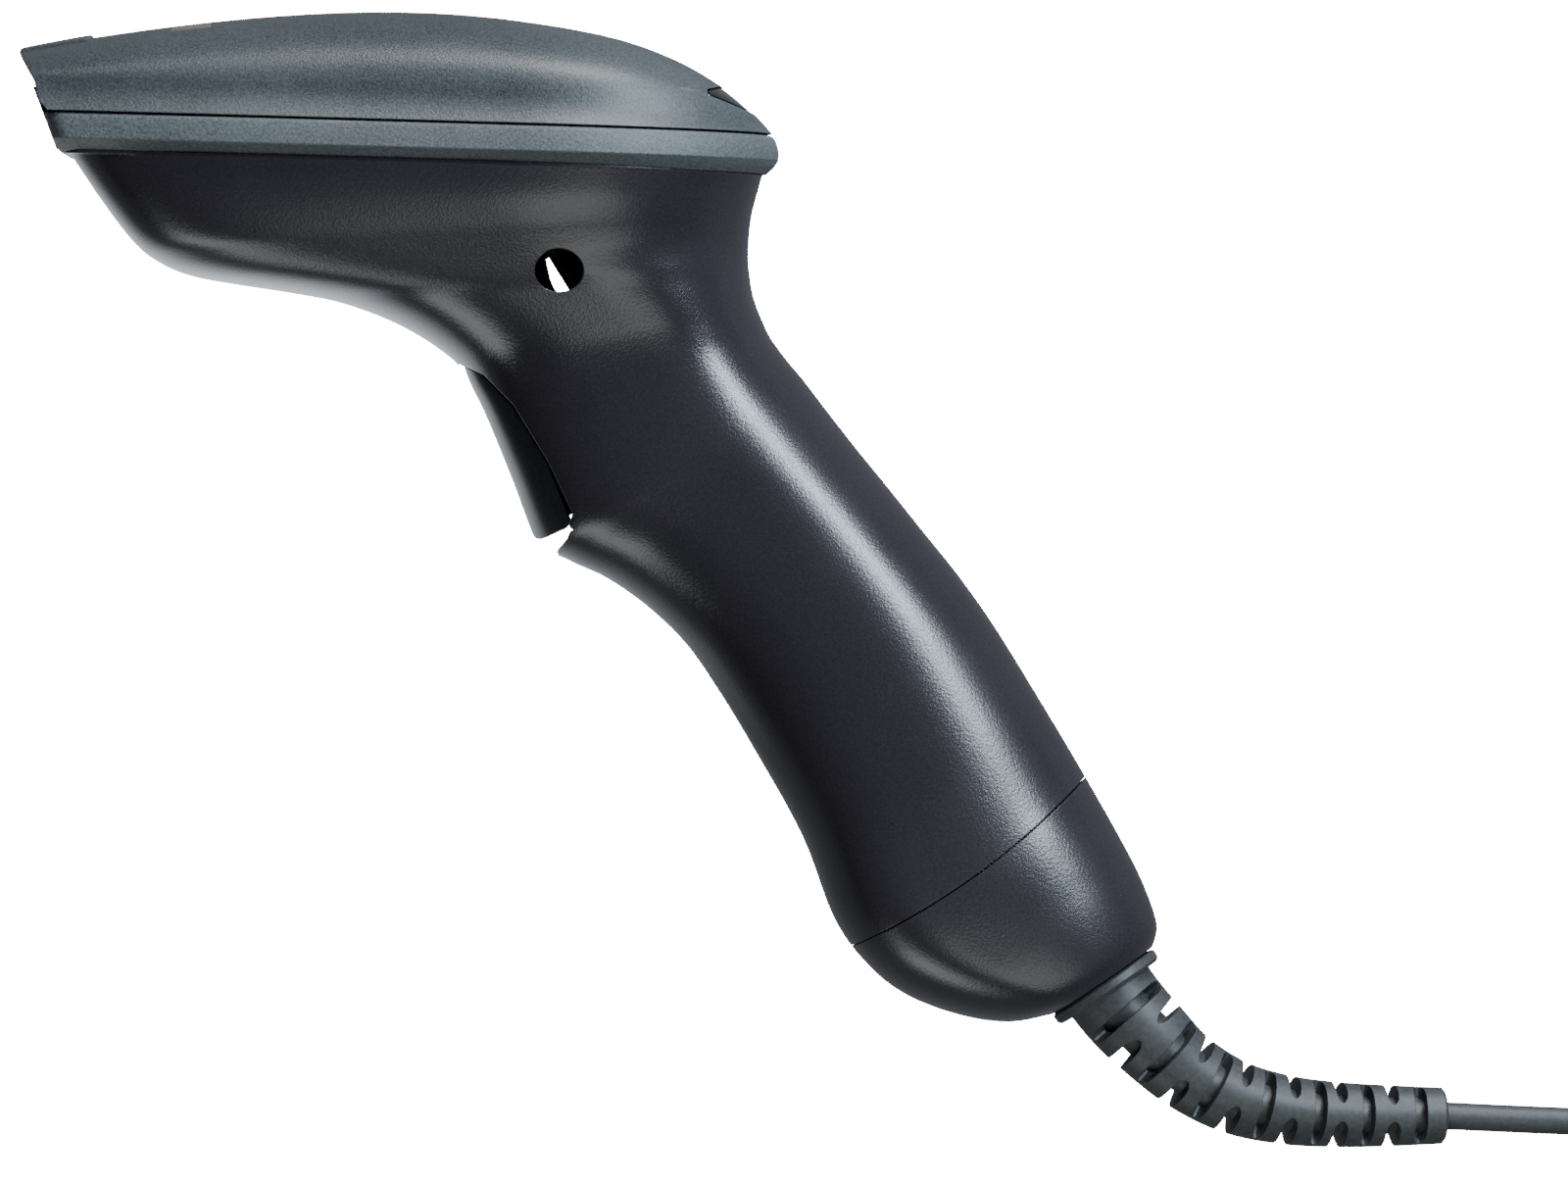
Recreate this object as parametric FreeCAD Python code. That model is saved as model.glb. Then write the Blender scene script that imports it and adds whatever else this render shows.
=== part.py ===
import FreeCAD, Part
import math
import os
from FreeCAD import Placement, Rotation, Vector

# A handheld barcode scanner with a trigger, a cable strain relief and a USB cable.
# Every piece of the scanner is drawn in a design frame: X runs along the head from the nose
# to the rear, Z points up through the top cover, and Y = 0 is the plane of symmetry. At the
# end the scanner is laid on its side, where it rests on the bumper band and on the end cap,
# and +Z of the finished part points up from the table. The cable is drawn where it lies.
# Every length is in millimetres.

# ---- driving dimensions ---------------------------------------------------------------
WALL = 2.2
SEAM_GAP = 0.35                # visible gap under the top cover
CLEARANCE = 0.3                # between pieces that only pass each other
RUNNING_FIT = 0.05             # radial clearance of a pin in its hole

BAND_HALF_WIDTH = 32.0
BAND_HEIGHT = 6.1
HEAD_REAR = 115.2
HEAD_TAPER_START = 75.0        # where the plan starts to curve in towards the rear
SKIRT_HEIGHT = 3.8

TRIGGER_PIVOT = (74.0, -34.0)  # design X and Z of the hinge pin
TRIGGER_TRAVEL_DEG = 6.0
TRIGGER_HALF_WIDTH = 12.6
TRIGGER_GAP = 0.25             # seen between the trigger and the housing
PIN_RADIUS = 1.5
SPRING_START = 8.6             # Y of the trigger spring's first turn
SPRING_PITCH = 1.1
SPRING_TURNS = 2.5
SPRING_END = SPRING_START + SPRING_TURNS * SPRING_PITCH + 0.3

HOLE_CENTRE = (82.1, -22.6)    # sound port through both side walls
HOLE_HALF_SIZE = (3.9, 3.4)

HANDLE_SLOPE_DEG = 56.6        # the handle's axis below the head's axis
BOARD_TOP = (80.1, -20.2)      # front face of the trigger board at its upper end
BOARD_THICKNESS = 1.6

CABLE_DIAMETER = 4.4
COIL_MIDDLE_RADIUS = 26.4
COIL_TURNS_PER_LAYER = 4
COIL_LAYERS = 2

PARTS_FOLDER = "parts"

# The lower housing, the handle and the end cap share one outer form. Each row is a slice
# that holds the Y direction: its front and back points (X, Z), its half width, and how
# square its front is (2 is an ellipse).
HOUSING_SLICES = (
    (3.9, -6.2, 113.8, -6.2, 29.8, 7.0),
    (9.0, -13.4, 113.0, -9.5, 28.9, 7.0),
    (13.9, -19.5, 112.4, -12.0, 27.4, 7.0),
    (17.7, -22.6, 112.2, -13.5, 26.2, 6.5),
    (22.9, -24.7, 112.0, -14.8, 25.1, 6.0),
    (30.4, -25.9, 111.9, -16.0, 24.2, 5.5),
    (39.0, -27.0, 111.9, -17.0, 23.3, 5.0),
    (47.2, -28.4, 111.9, -18.0, 22.4, 4.5),
    (55.7, -31.3, 111.9, -19.2, 21.4, 4.0),
    (62.5, -35.0, 112.0, -20.5, 20.1, 3.6),
    (67.2, -39.0, 112.2, -22.0, 19.1, 3.3),
    (70.8, -45.7, 112.8, -25.0, 18.6, 3.0),
    (75.2, -55.6, 115.5, -31.5, 18.4, 2.8),
    (80.0, -65.6, 121.3, -38.7, 18.2, 2.6),
    (84.6, -68.4, 124.3, -42.4, 18.0, 2.5),
    (91.0, -71.2, 129.3, -48.5, 17.8, 2.4),
    (97.6, -75.6, 134.9, -55.0, 17.6, 2.4),
    (103.7, -81.2, 141.0, -62.2, 17.5, 2.4),
    (108.9, -88.2, 147.2, -69.5, 17.5, 2.4),
    (114.6, -97.0, 153.2, -77.6, 17.5, 2.4),
    (123.0, -111.1, 160.6, -88.9, 17.6, 2.4),
    (128.6, -124.4, 166.0, -97.4, 17.7, 2.4),
    (134.4, -131.8, 170.2, -104.2, 17.4, 2.4),
    (140.7, -136.3, 173.8, -110.2, 16.6, 2.3),
    (149.3, -139.2, 177.4, -116.8, 15.4, 2.2),
    (157.0, -140.0, 180.0, -123.6, 13.6, 2.1),
    (163.6, -138.6, 179.4, -127.4, 11.2, 2.0),
)
SLICE_POINTS = 36
SLICE_WIDEST = 0.58            # how far from its front a slice is widest

# Height of the top cover along its middle, as (X, Z).
TOP_LINE = (
    (-6.0, 9.8), (6.0, 12.4), (19.3, 14.7), (33.5, 16.6), (48.0, 17.8), (61.9, 18.0),
    (74.2, 17.2), (89.1, 15.0), (99.4, 11.7), (107.3, 7.4), (112.5, 3.2), (HEAD_REAR, 0.4),
)
NOSE_LINE = ((0.6, SEAM_GAP), (-1.1, 3.1), (-1.7, 4.8), (-4.5, 9.3), (-4.7, 9.9), (-4.2, 10.5))
COVER_FRONT = -5.4
COVER_HALF_WIDTH = 31.0
COVER_RINGS = (1.0, 0.97, 0.92, 0.84, 0.72, 0.56, 0.36, 0.16)

# Rubber band: height below the seam, distance out from the cover's side, front and rear X.
BAND_PROFILE = (
    (0.0, 0.2, 0.2, 115.1), (-0.8, 0.8, 0.4, 116.0), (-2.2, 1.0, 0.9, 116.4),
    (-3.6, 0.8, 1.5, 116.2), (-4.8, 0.2, 2.1, 115.6), (-BAND_HEIGHT, -0.9, 2.7, 114.4),
)

# Side outline of the trigger, as (X, Z): its front edge lies on the housing's front line.
TRIGGER_OUTLINE = (
    (66.2, -37.6), (70.5, -39.4), (75.3, -44.0), (81.2, -53.1), (85.2, -61.0), (84.5, -63.3),
    (79.9, -65.6), (72.0, -68.0), (62.0, -44.0),
)
# Slices of the trigger: front and back points, half width and squareness of its front.
TRIGGER_SLICES = (
    (66.9, -37.4, 80.0, -29.5, 10.8, 4.5),
    (68.3, -40.9, 84.0, -32.0, 11.6, 4.2),
    (70.8, -45.7, 88.0, -35.5, 12.2, 3.6),
    (75.2, -55.6, 93.0, -45.0, TRIGGER_HALF_WIDTH, 3.2),
    (78.7, -64.2, 97.0, -53.3, TRIGGER_HALF_WIDTH, 3.0),
    (80.6, -67.2, 99.0, -56.3, TRIGGER_HALF_WIDTH, 3.0),
)

HANDLE_DOWN = (math.cos(math.radians(HANDLE_SLOPE_DEG)), -math.sin(math.radians(HANDLE_SLOPE_DEG)))
HANDLE_BACK = (-HANDLE_DOWN[1], HANDLE_DOWN[0])

nodes = {}


# ---- small tools ----------------------------------------------------------------------
def point(x, z, y=0.0):
    """A point of the design frame."""
    return Vector(x, y, z)


def smooth(values, where):
    """Height of a smooth curve through (place, height) pairs, with flat-ended cubics."""
    if where <= values[0][0]:
        return values[0][1]
    for i in range(len(values) - 1):
        (x0, z0), (x1, z1) = values[i], values[i + 1]
        if where <= x1:
            before = values[max(i - 1, 0)]
            after = values[min(i + 2, len(values) - 1)]
            span = x1 - x0
            slope0 = (z1 - before[1]) / (x1 - before[0])
            slope1 = (after[1] - z0) / (after[0] - x0)
            t = (where - x0) / span
            return ((2 * t**3 - 3 * t**2 + 1) * z0 + (t**3 - 2 * t**2 + t) * span * slope0
                    + (3 * t**2 - 2 * t**3) * z1 + (t**3 - t**2) * span * slope1)
    return values[-1][1]


def closed_spline(points):
    """A smooth closed wire through points."""
    curve = Part.BSplineCurve()
    curve.interpolate(points, PeriodicFlag=True)
    return Part.Wire(curve.toShape())


def stack(wires):
    """A solid with straight walls between wires."""
    return Part.makeLoft(wires, True, True)


def prism(outline, half_width, centre_y=0.0):
    """A side outline of (X, Z) points, extruded across Y."""
    corners = [point(x, z, centre_y - half_width) for x, z in outline]
    corners.append(corners[0])
    face = Part.Face(Part.makePolygon(corners))
    return face.extrude(Vector(0, 2 * half_width, 0))


def box(x0, x1, y0, y1, z0, z1):
    """A box between two corners."""
    return Part.makeBox(x1 - x0, y1 - y0, z1 - z0, Vector(x0, y0, z0))


def cross_pin(x, z, radius, y0, y1):
    """A cylinder along Y."""
    return Part.makeCylinder(radius, y1 - y0, point(x, z, y0), Vector(0, 1, 0))


def post(x, y, radius, z0, z1):
    """A cylinder along Z."""
    return Part.makeCylinder(radius, z1 - z0, Vector(x, y, z0), Vector(0, 0, 1))


def along_handle(down, back):
    """The (X, Z) place at a distance down the handle and back from the trigger board."""
    return (BOARD_TOP[0] + down * HANDLE_DOWN[0] + back * HANDLE_BACK[0],
            BOARD_TOP[1] + down * HANDLE_DOWN[1] + back * HANDLE_BACK[1])


def handle_block(down0, down1, back0, back1, y0, y1):
    """A box whose length runs down the handle."""
    outline = [along_handle(down0, back0), along_handle(down1, back0),
               along_handle(down1, back1), along_handle(down0, back1)]
    return prism(outline, (y1 - y0) / 2, (y0 + y1) / 2)


def screw(place, direction, length, radius=0.9, head_radius=1.8, head_height=1.3):
    """A pan-head screw with a hex socket; place is the underside of its head."""
    direction = Vector(direction).normalize()
    head = Part.makeCylinder(head_radius, head_height, place - direction * head_height, direction)
    socket = Part.makeCylinder(head_radius * 0.5, head_height * 0.6,
                               place - direction * head_height, direction)
    shank = Part.makeCylinder(radius, length, place, direction)
    return head.cut(socket).fuse(shank)


# ---- outer form -----------------------------------------------------------------------
def slice_wire(front, back, half_width, squareness):
    """A closed oval through two (X, Z) points, as wide as twice half_width across Y."""
    length = math.hypot(back[0] - front[0], back[1] - front[1])
    along = ((back[0] - front[0]) / length, (back[1] - front[1]) / length)
    points = []
    for i in range(SLICE_POINTS):
        angle = 2 * math.pi * i / SLICE_POINTS
        cosine = math.cos(angle)
        power = squareness if cosine > 0 else min(squareness, 2.3)
        reach = SLICE_WIDEST if cosine > 0 else 1 - SLICE_WIDEST
        step = SLICE_WIDEST - math.copysign(abs(cosine) ** (2 / power), cosine) * reach
        side = math.copysign(abs(math.sin(angle)) ** (2 / power), math.sin(angle))
        points.append(point(front[0] + along[0] * step * length,
                            front[1] + along[1] * step * length, side * half_width))
    return closed_spline(points)


def inward(line, i):
    """Unit normal of an (X, Z) line at point i, to the left of its direction."""
    before = line[max(i - 1, 0)]
    after = line[min(i + 1, len(line) - 1)]
    dx = after[0] - before[0]
    dz = after[1] - before[1]
    length = math.hypot(dx, dz)
    return (-dz / length, dx / length)


def housing_form(inset):
    """The outer form of housing, handle and cap, shrunk by inset."""
    fronts = [(row[0], row[1]) for row in HOUSING_SLICES]
    backs = [(row[2], row[3]) for row in HOUSING_SLICES]
    wires = []
    for i, row in enumerate(HOUSING_SLICES):
        front_normal = inward(fronts, i)
        back_normal = inward(backs, i)
        front = (fronts[i][0] + front_normal[0] * inset, fronts[i][1] + front_normal[1] * inset)
        back = (backs[i][0] - back_normal[0] * inset, backs[i][1] - back_normal[1] * inset)
        wires.append(slice_wire(front, back, row[4] - inset, row[5]))
    return stack(wires)


def head_half_width(x, half_width, front, rear):
    """Half width of the head's plan at X, with a rounded rear and small front corners."""
    corner = 3.0
    if x >= HEAD_TAPER_START:
        part = min((x - HEAD_TAPER_START) / (rear - HEAD_TAPER_START), 1.0)
        return half_width * (1 - part**2.2) ** (1 / 2.2)
    nose = 1.2 * (1 - min(max(x - front, 0) / 40.0, 1.0)) ** 2
    width = half_width - nose
    if x < front + corner:
        width += -corner + math.sqrt(max(corner**2 - (front + corner - x) ** 2, 0))
    return width


def head_plan(half_width, front, rear):
    """Points (X, Y) round the head's plan, from the middle of the nose along +Y."""
    corner = 3.0
    flat = half_width - 1.2 - corner
    points = [(front, flat * part) for part in (0.0, 0.35, 0.7, 0.9, 1.0)]
    for degrees in (22.5, 45, 67.5):
        x = front + corner * (1 - math.cos(math.radians(degrees)))
        points.append((x, head_half_width(x, half_width, front, rear)))
    side_length = HEAD_TAPER_START - front - corner
    for part in (0.0, 0.09, 0.24, 0.42, 0.6, 0.8, 1.0):
        x = front + corner + side_length * part
        points.append((x, head_half_width(x, half_width, front, rear)))
    for degrees in (20, 36, 50, 62, 72, 81):
        x = HEAD_TAPER_START + (rear - HEAD_TAPER_START) * math.sin(math.radians(degrees)) ** (2 / 2.2)
        points.append((x, head_half_width(x, half_width, front, rear)))
    mirrored = [(x, -y) for x, y in reversed(points[1:])]
    return points + [(rear, 0.0)] + mirrored


def flat_ring(half_width, front, rear, z):
    """The head's plan as a flat wire at height z."""
    return closed_spline([Vector(x, y, z) for x, y in head_plan(half_width, front, rear)])


def cover_height(x, y, half_width, front, rear, drop):
    """Height of the top cover's outside at a place in the plan, lowered by drop."""
    top = smooth(TOP_LINE, x) - drop
    skirt = SEAM_GAP + (SKIRT_HEIGHT - SEAM_GAP) * min(1.0, max(rear - x, 0) / 25.0) ** 0.7
    width = max(head_half_width(x, half_width, front, rear), 0.001)
    across = min(abs(y) / width, 1.0)
    return skirt + max(top - skirt, 0) * (1 - across**4) ** 0.5


def cover_form(inset, drop, base):
    """The solid under the top cover's surface, shrunk by inset and lowered by drop."""
    half_width = COVER_HALF_WIDTH - inset
    front = COVER_FRONT + inset
    rear = HEAD_REAR - inset
    middle = 60.0
    plan = head_plan(half_width, front, rear)
    wires = [closed_spline([Vector(x, y, base) for x, y in plan])]
    for scale in COVER_RINGS:
        ring = []
        for x, y in plan:
            ring_x = middle + (x - middle) * scale
            ring_y = y * scale
            ring.append(Vector(ring_x, ring_y,
                               cover_height(ring_x, ring_y, half_width, front, rear, drop)))
        if scale == COVER_RINGS[-1]:
            level = sum(p.z for p in ring) / len(ring)
            ring = [Vector(p.x, p.y, level) for p in ring]
        wires.append(closed_spline(ring))
    return stack(wires)


# ---- window frame ---------------------------------------------------------------------
WINDOW_CENTRE = (0.5, -0.6)
WINDOW_LEAN_DEG = 22.2
WINDOW_DOWN = (math.sin(math.radians(WINDOW_LEAN_DEG)), -math.cos(math.radians(WINDOW_LEAN_DEG)))
WINDOW_OUT = (WINDOW_DOWN[1], -WINDOW_DOWN[0])


def window_block(half_length, half_height, out0, out1):
    """A block parallel to the window; out is measured forwards from the nose's plane."""
    corners = []
    for down, out in ((-half_height, out0), (half_height, out0), (half_height, out1), (-half_height, out1)):
        corners.append((WINDOW_CENTRE[0] + down * WINDOW_DOWN[0] + out * WINDOW_OUT[0],
                        WINDOW_CENTRE[1] + down * WINDOW_DOWN[1] + out * WINDOW_OUT[1]))
    return prism(corners, half_length)


def make_window():
    frame = window_block(21.6, 5.2, -2.6, 0.5).cut(window_block(19.6, 3.7, -3.0, 1.0))
    frame = frame.cut(window_block(20.4, 4.5, -3.0, -0.9))
    nodes["window_bezel"] = frame
    nodes["scan_window"] = window_block(20.3, 4.4, -2.1, -0.9)


# ---- head -----------------------------------------------------------------------------
LENS_POCKET = ((104.7, 6.8), (107.5, 7.7), (118.0, 9.0), (118.0, 2.4), (112.3, 3.3), (104.9, 5.9))
LENS_OUTLINE = ((104.9, 6.7), (107.5, 7.5), (117.0, 8.6), (117.0, 2.8), (112.3, 3.5), (105.1, 6.0))
COVER_POSTS = ((15.0, 22.4), (15.0, -22.4), (44.0, 22.4), (44.0, -22.4))
COVER_POST_RADIUS = 3.0
BADGE = (22.6, 3.2, 18.0)      # centre X, half length along X and half width of the blank badge


def make_top_cover():
    nose = list(NOSE_LINE) + [(-12.0, 13.0), (-12.0, -2.0), (0.6, -2.0)]
    outside = cover_form(0.0, 0.0, SEAM_GAP).cut(prism(nose, 50))
    inside = cover_form(WALL, WALL, SEAM_GAP - 1).cut(window_block(40, 25, -3.4, 20))
    shell = outside.cut(inside)
    posts = [post(x, y, COVER_POST_RADIUS, 1.2, 20).common(outside) for x, y in COVER_POSTS]
    pad = cover_form(1.0, -0.55, SEAM_GAP).common(box(-3.4, 6.4, -17, 17, 10, 20))
    shell = shell.fuse(posts + [pad])
    badge_block = box(BADGE[0] - BADGE[1], BADGE[0] + BADGE[1], -BADGE[2], BADGE[2], 9, 30)
    badge = outside.common(badge_block).cut(cover_form(0.5, 0.5, SEAM_GAP))
    openings = [post(x, y, 0.95, 0, 8) for x, y in COVER_POSTS]
    openings += [prism(LENS_POCKET, 40), window_block(21.8, 5.4, -12.0, 4.0), badge]
    nodes["top_cover"] = shell.cut(openings)
    nodes["blank_badge"] = badge
    lens = prism(LENS_OUTLINE, 40)
    nodes["indicator_lens"] = cover_form(0.35, 0.3, SEAM_GAP).common(lens)


def make_bumper_band():
    rings = []
    for z, out, front, rear in BAND_PROFILE:
        rings.append(flat_ring(COVER_HALF_WIDTH + out, front, rear, z))
    opening = stack([flat_ring(COVER_HALF_WIDTH - 1.7, 3.2, HEAD_REAR - 1.9, z)
                     for z in (-BAND_HEIGHT - 1, 1)])
    band = stack(rings).cut(opening)
    nodes["bumper_band"] = band.cut(window_block(21.8, 5.4, -12.0, 4.0))


SCREW_SEAT = 9.5               # Y of the face under each shell screw's head
SHELL_SCREWS = ((26.0, -18.6), (103.5, -11.5), (94.5, -53.9), (117.6, -87.0), (140.5, -112.5))
SEAM_ARC = ((128.9, -127.2), (147.6, -120.4), (168.4, -99.6))
CABLE_OUT = (0.577, -0.817)    # the cable's direction as it leaves the end cap
CAP_FACE = (171.5, -133.0)     # middle of the end cap's flat end


def below_seam():
    """Everything on the end cap's side of the curved seam."""
    arc = Part.Arc(*(point(x, z, -60) for x, z in SEAM_ARC)).toShape()
    first, last = point(*SEAM_ARC[0], -60), point(*SEAM_ARC[2], -60)
    corners = [last, point(230, -60, -60), point(230, -200, -60), point(80, -200, -60),
               point(100, -126, -60), first]
    outline = Part.Wire([arc] + Part.makePolygon(corners).Edges)
    return Part.Face(outline).extrude(Vector(0, 120, 0))


NOTCH_OUTLINE = ((84.9, -63.2), (82.6, -67.3), (70.0, -69.0), (70.0, -60.0))


def trigger_sweep():
    """The places that the trigger passes as it is pulled, a little wider than the trigger."""
    pivot = point(*TRIGGER_PIVOT)
    places = []
    for step in (0.0, 0.25, 0.5, 0.75, 1.0, 1.15):
        block = prism(TRIGGER_OUTLINE, TRIGGER_HALF_WIDTH + CLEARANCE)
        block.rotate(pivot, Vector(0, -1, 0), TRIGGER_TRAVEL_DEG * step)
        places.append(block)
    return places


# Web beside the sound port in the far shell, as (X, Z): the port's light passes between it and
# the trigger board.
PORT_WEB = (
    (76.0, -16.5), (78.4, -18.4), (79.5, -20.3), (79.9, -21.9), (80.3, -23.5), (80.9, -24.8),
    (81.7, -25.9), (82.5, -27.2), (77.0, -27.6),
)
PORT_WEB_START = 9.0


def hollow_housing(outside, inside, core):
    """Housing and handle in one piece: walls, lip, screw posts, pin posts and ribs."""
    mouth = stack([flat_ring(COVER_HALF_WIDTH - 4.0, 6.5, HEAD_REAR - 4.5, z) for z in (-8.0, 1.0)])
    lip = stack([flat_ring(COVER_HALF_WIDTH - 1.9, 3.5, HEAD_REAR - 2.1, z) for z in (-6.3, -0.5)])
    solids = [lip.cut(mouth)]
    solids += [cross_pin(x, z, 2.8, -30, 30).common(core) for x, z in SHELL_SCREWS]
    pin_posts = cross_pin(*TRIGGER_PIVOT, 3.4, -30, 30).common(core)
    solids.append(pin_posts.cut(box(60, 90, -8.2, SPRING_END + CLEARANCE, -50, -20)))
    for back in (4.2, 8.4):
        rib = handle_block(1.0, 34.0, back, back + 1.3, -20, 20).common(core)
        solids.append(rib.cut(box(60, 130, -9, 9, -80, 0)))
    below_board = box(60, 130, -30, 30, -60, MAIN_BOARD_TOP - BOARD_THICKNESS - 2 * CLEARANCE)
    behind = handle_block(-3.0, 12.0, BOARD_THICKNESS + RUNNING_FIT, 9.7, PORT_WEB_START, 20)
    beside = prism(PORT_WEB, (20 - PORT_WEB_START) / 2, (20 + PORT_WEB_START) / 2)
    solids += [web.common(core).common(below_board) for web in (behind, beside)]
    return outside.cut(inside).fuse(solids)


def sound_port():
    """The oval port, as a bar that passes through both side walls only."""
    bar = Part.makeCylinder(1, 80, Vector(0, -40, 0), Vector(0, 1, 0))
    stretch = FreeCAD.Matrix(HOLE_HALF_SIZE[0], 0, 0, HOLE_CENTRE[0], 0, 1, 0, 0,
                             0, 0, HOLE_HALF_SIZE[1], HOLE_CENTRE[1], 0, 0, 0, 1)
    return bar.transformGeometry(stretch).cut(box(60, 110, -14, 14, -60, 0))


def make_housing():
    outside = housing_form(0.0)
    inside = housing_form(WALL)
    shell = hollow_housing(outside, inside, housing_form(0.4))
    openings = [window_block(21.8, 5.4, -12.0, 4.0), sound_port(), prism(TRIGGER_OUTLINE, 40)]
    openings += trigger_sweep()
    openings.append(prism(NOTCH_OUTLINE, 40))
    openings.append(cross_pin(*TRIGGER_PIVOT, PIN_RADIUS + RUNNING_FIT, -14, 14))
    for x, z in SHELL_SCREWS:
        openings.append(cross_pin(x, z, 1.15, -9, 32))
        openings.append(cross_pin(x, z, 2.1, SCREW_SEAT, 32))
    cap_side = below_seam()
    handle = shell.cut(openings).cut(cap_side)
    nodes["left_shell"] = handle.common(box(-50, 250, -60, 0, -200, 50))
    nodes["right_shell"] = handle.common(box(-50, 250, 0, 60, -200, 50))
    out = Vector(CABLE_OUT[0], 0, CABLE_OUT[1])
    face = point(*CAP_FACE)
    floor = outside.common(Part.makeCylinder(40, 2.4, face - out * 2.4, out))
    cap = outside.common(cap_side).cut(inside).fuse(floor)
    nodes["end_cap"] = cap.cut(Part.makeCylinder(NECK_RADIUS + CLEARANCE, 20, face - out * 10, out))


def make_shell_screws():
    screws = []
    for x, z in SHELL_SCREWS:
        screws.append(screw(point(x, z, SCREW_SEAT), (0, -1, 0), 17.0, 1.05, 1.9, 1.5))
    nodes["shell_screws"] = Part.makeCompound(screws)


# ---- optics and electronics -----------------------------------------------------------
CHASSIS_FLOOR = -9.0
TRAY_CORNER = ((7.0, -10.0), (12.5, -10.0), (7.0, -2.0))
MAIN_BOARD_TOP = -13.0
MAIN_BOARD = (16.0, 98.0, 20.0)      # first X, last X and half width
BOARD_POSTS = ((22.0, 15.0), (22.0, -15.0), (44.0, 15.0), (44.0, -15.0))


def make_optics():
    tray = box(8, 50, -20, 20, CHASSIS_FLOOR, 6).cut(box(0, 48, -18.4, 18.4, CHASSIS_FLOOR + 1.6, 10))
    tray = tray.cut(prism(TRAY_CORNER, 30))
    lens_wall = box(35, 38, -18.4, 18.4, CHASSIS_FLOOR + 1.6, 5)
    barrel_hole = Part.makeCylinder(5.0 + RUNNING_FIT, 10, Vector(33, 0, -1.0), Vector(1, 0, 0))
    tray = tray.fuse(lens_wall).cut(barrel_hole)
    for x, y in COVER_POSTS:
        tray = tray.cut(post(x, y, COVER_POST_RADIUS + CLEARANCE, 1.1, 10))
        inner = math.copysign(19.5, y)
        ear = box(x - 3.0, x + 3.0, min(inner, y), max(inner, y), -0.5, 1.1)
        tray = tray.fuse(ear).fuse(post(x, y, 3.0, -0.5, 1.1)).cut(post(x, y, 0.95, -1, 2))
    for x, y in BOARD_POSTS:
        tray = tray.cut(post(x, y, 0.95, CHASSIS_FLOOR - 1, CHASSIS_FLOOR + 3))
    for y in (-13.0, 13.0):
        tray = tray.cut(Part.makeCylinder(0.95, 10, Vector(44, y, 3.5), Vector(1, 0, 0)))
    nodes["optics_chassis"] = tray
    nodes["chassis_screws"] = Part.makeCompound(
        [screw(Vector(x, y, -0.5), (0, 0, 1), 6.5, 0.9) for x, y in COVER_POSTS])
    barrel = Part.makeCylinder(5.0, 12, Vector(30, 0, -1.0), Vector(1, 0, 0))
    bore = Part.makeCylinder(3.6, 14, Vector(29, 0, -1.0), Vector(1, 0, 0))
    nodes["lens_barrel"] = barrel.cut(bore)
    first = Part.makeCylinder(3.57, 1.6, Vector(31, 0, -1.0), Vector(1, 0, 0))
    cap = Part.makeSphere(6.0, Vector(36.0, 0, -1.0)).common(
        Part.makeCylinder(3.57, 1.5, Vector(29.9, 0, -1.0), Vector(1, 0, 0)))
    second = Part.makeCylinder(3.57, 1.2, Vector(38, 0, -1.0), Vector(1, 0, 0))
    nodes["lens_elements"] = Part.makeCompound([first.fuse(cap), second])
    board = box(46.4, 48.0, -17, 17, -6.6, 6.6)
    for y in (-13.0, 13.0):
        board = board.cut(Part.makeCylinder(0.95, 4, Vector(45, y, 3.5), Vector(1, 0, 0)))
    nodes["sensor_board"] = board
    nodes["line_sensor"] = box(44.2, 46.4, -10.5, 10.5, -3.2, 1.2)
    nodes["sensor_screws"] = Part.makeCompound(
        [screw(Vector(46.4, y, 3.5), (1, 0, 0), 3.2, 0.9, 1.7, 1.2) for y in (-13.0, 13.0)])
    led_board = box(11.0, 12.4, -17.6, 17.6, -0.6, 6.4)
    nodes["led_board"] = led_board
    leds = []
    for i in range(7):
        y = -15.0 + 5.0 * i
        package = box(9.6, 11.0, y - 1.4, y + 1.4, 1.4, 4.2)
        dome = Part.makeSphere(1.1, Vector(9.6, y, 2.8)).common(box(7, 9.6, y - 2, y + 2, 0, 5))
        leds.append(package.fuse(dome))
    nodes["illumination_leds"] = Part.makeCompound(leds)


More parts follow.
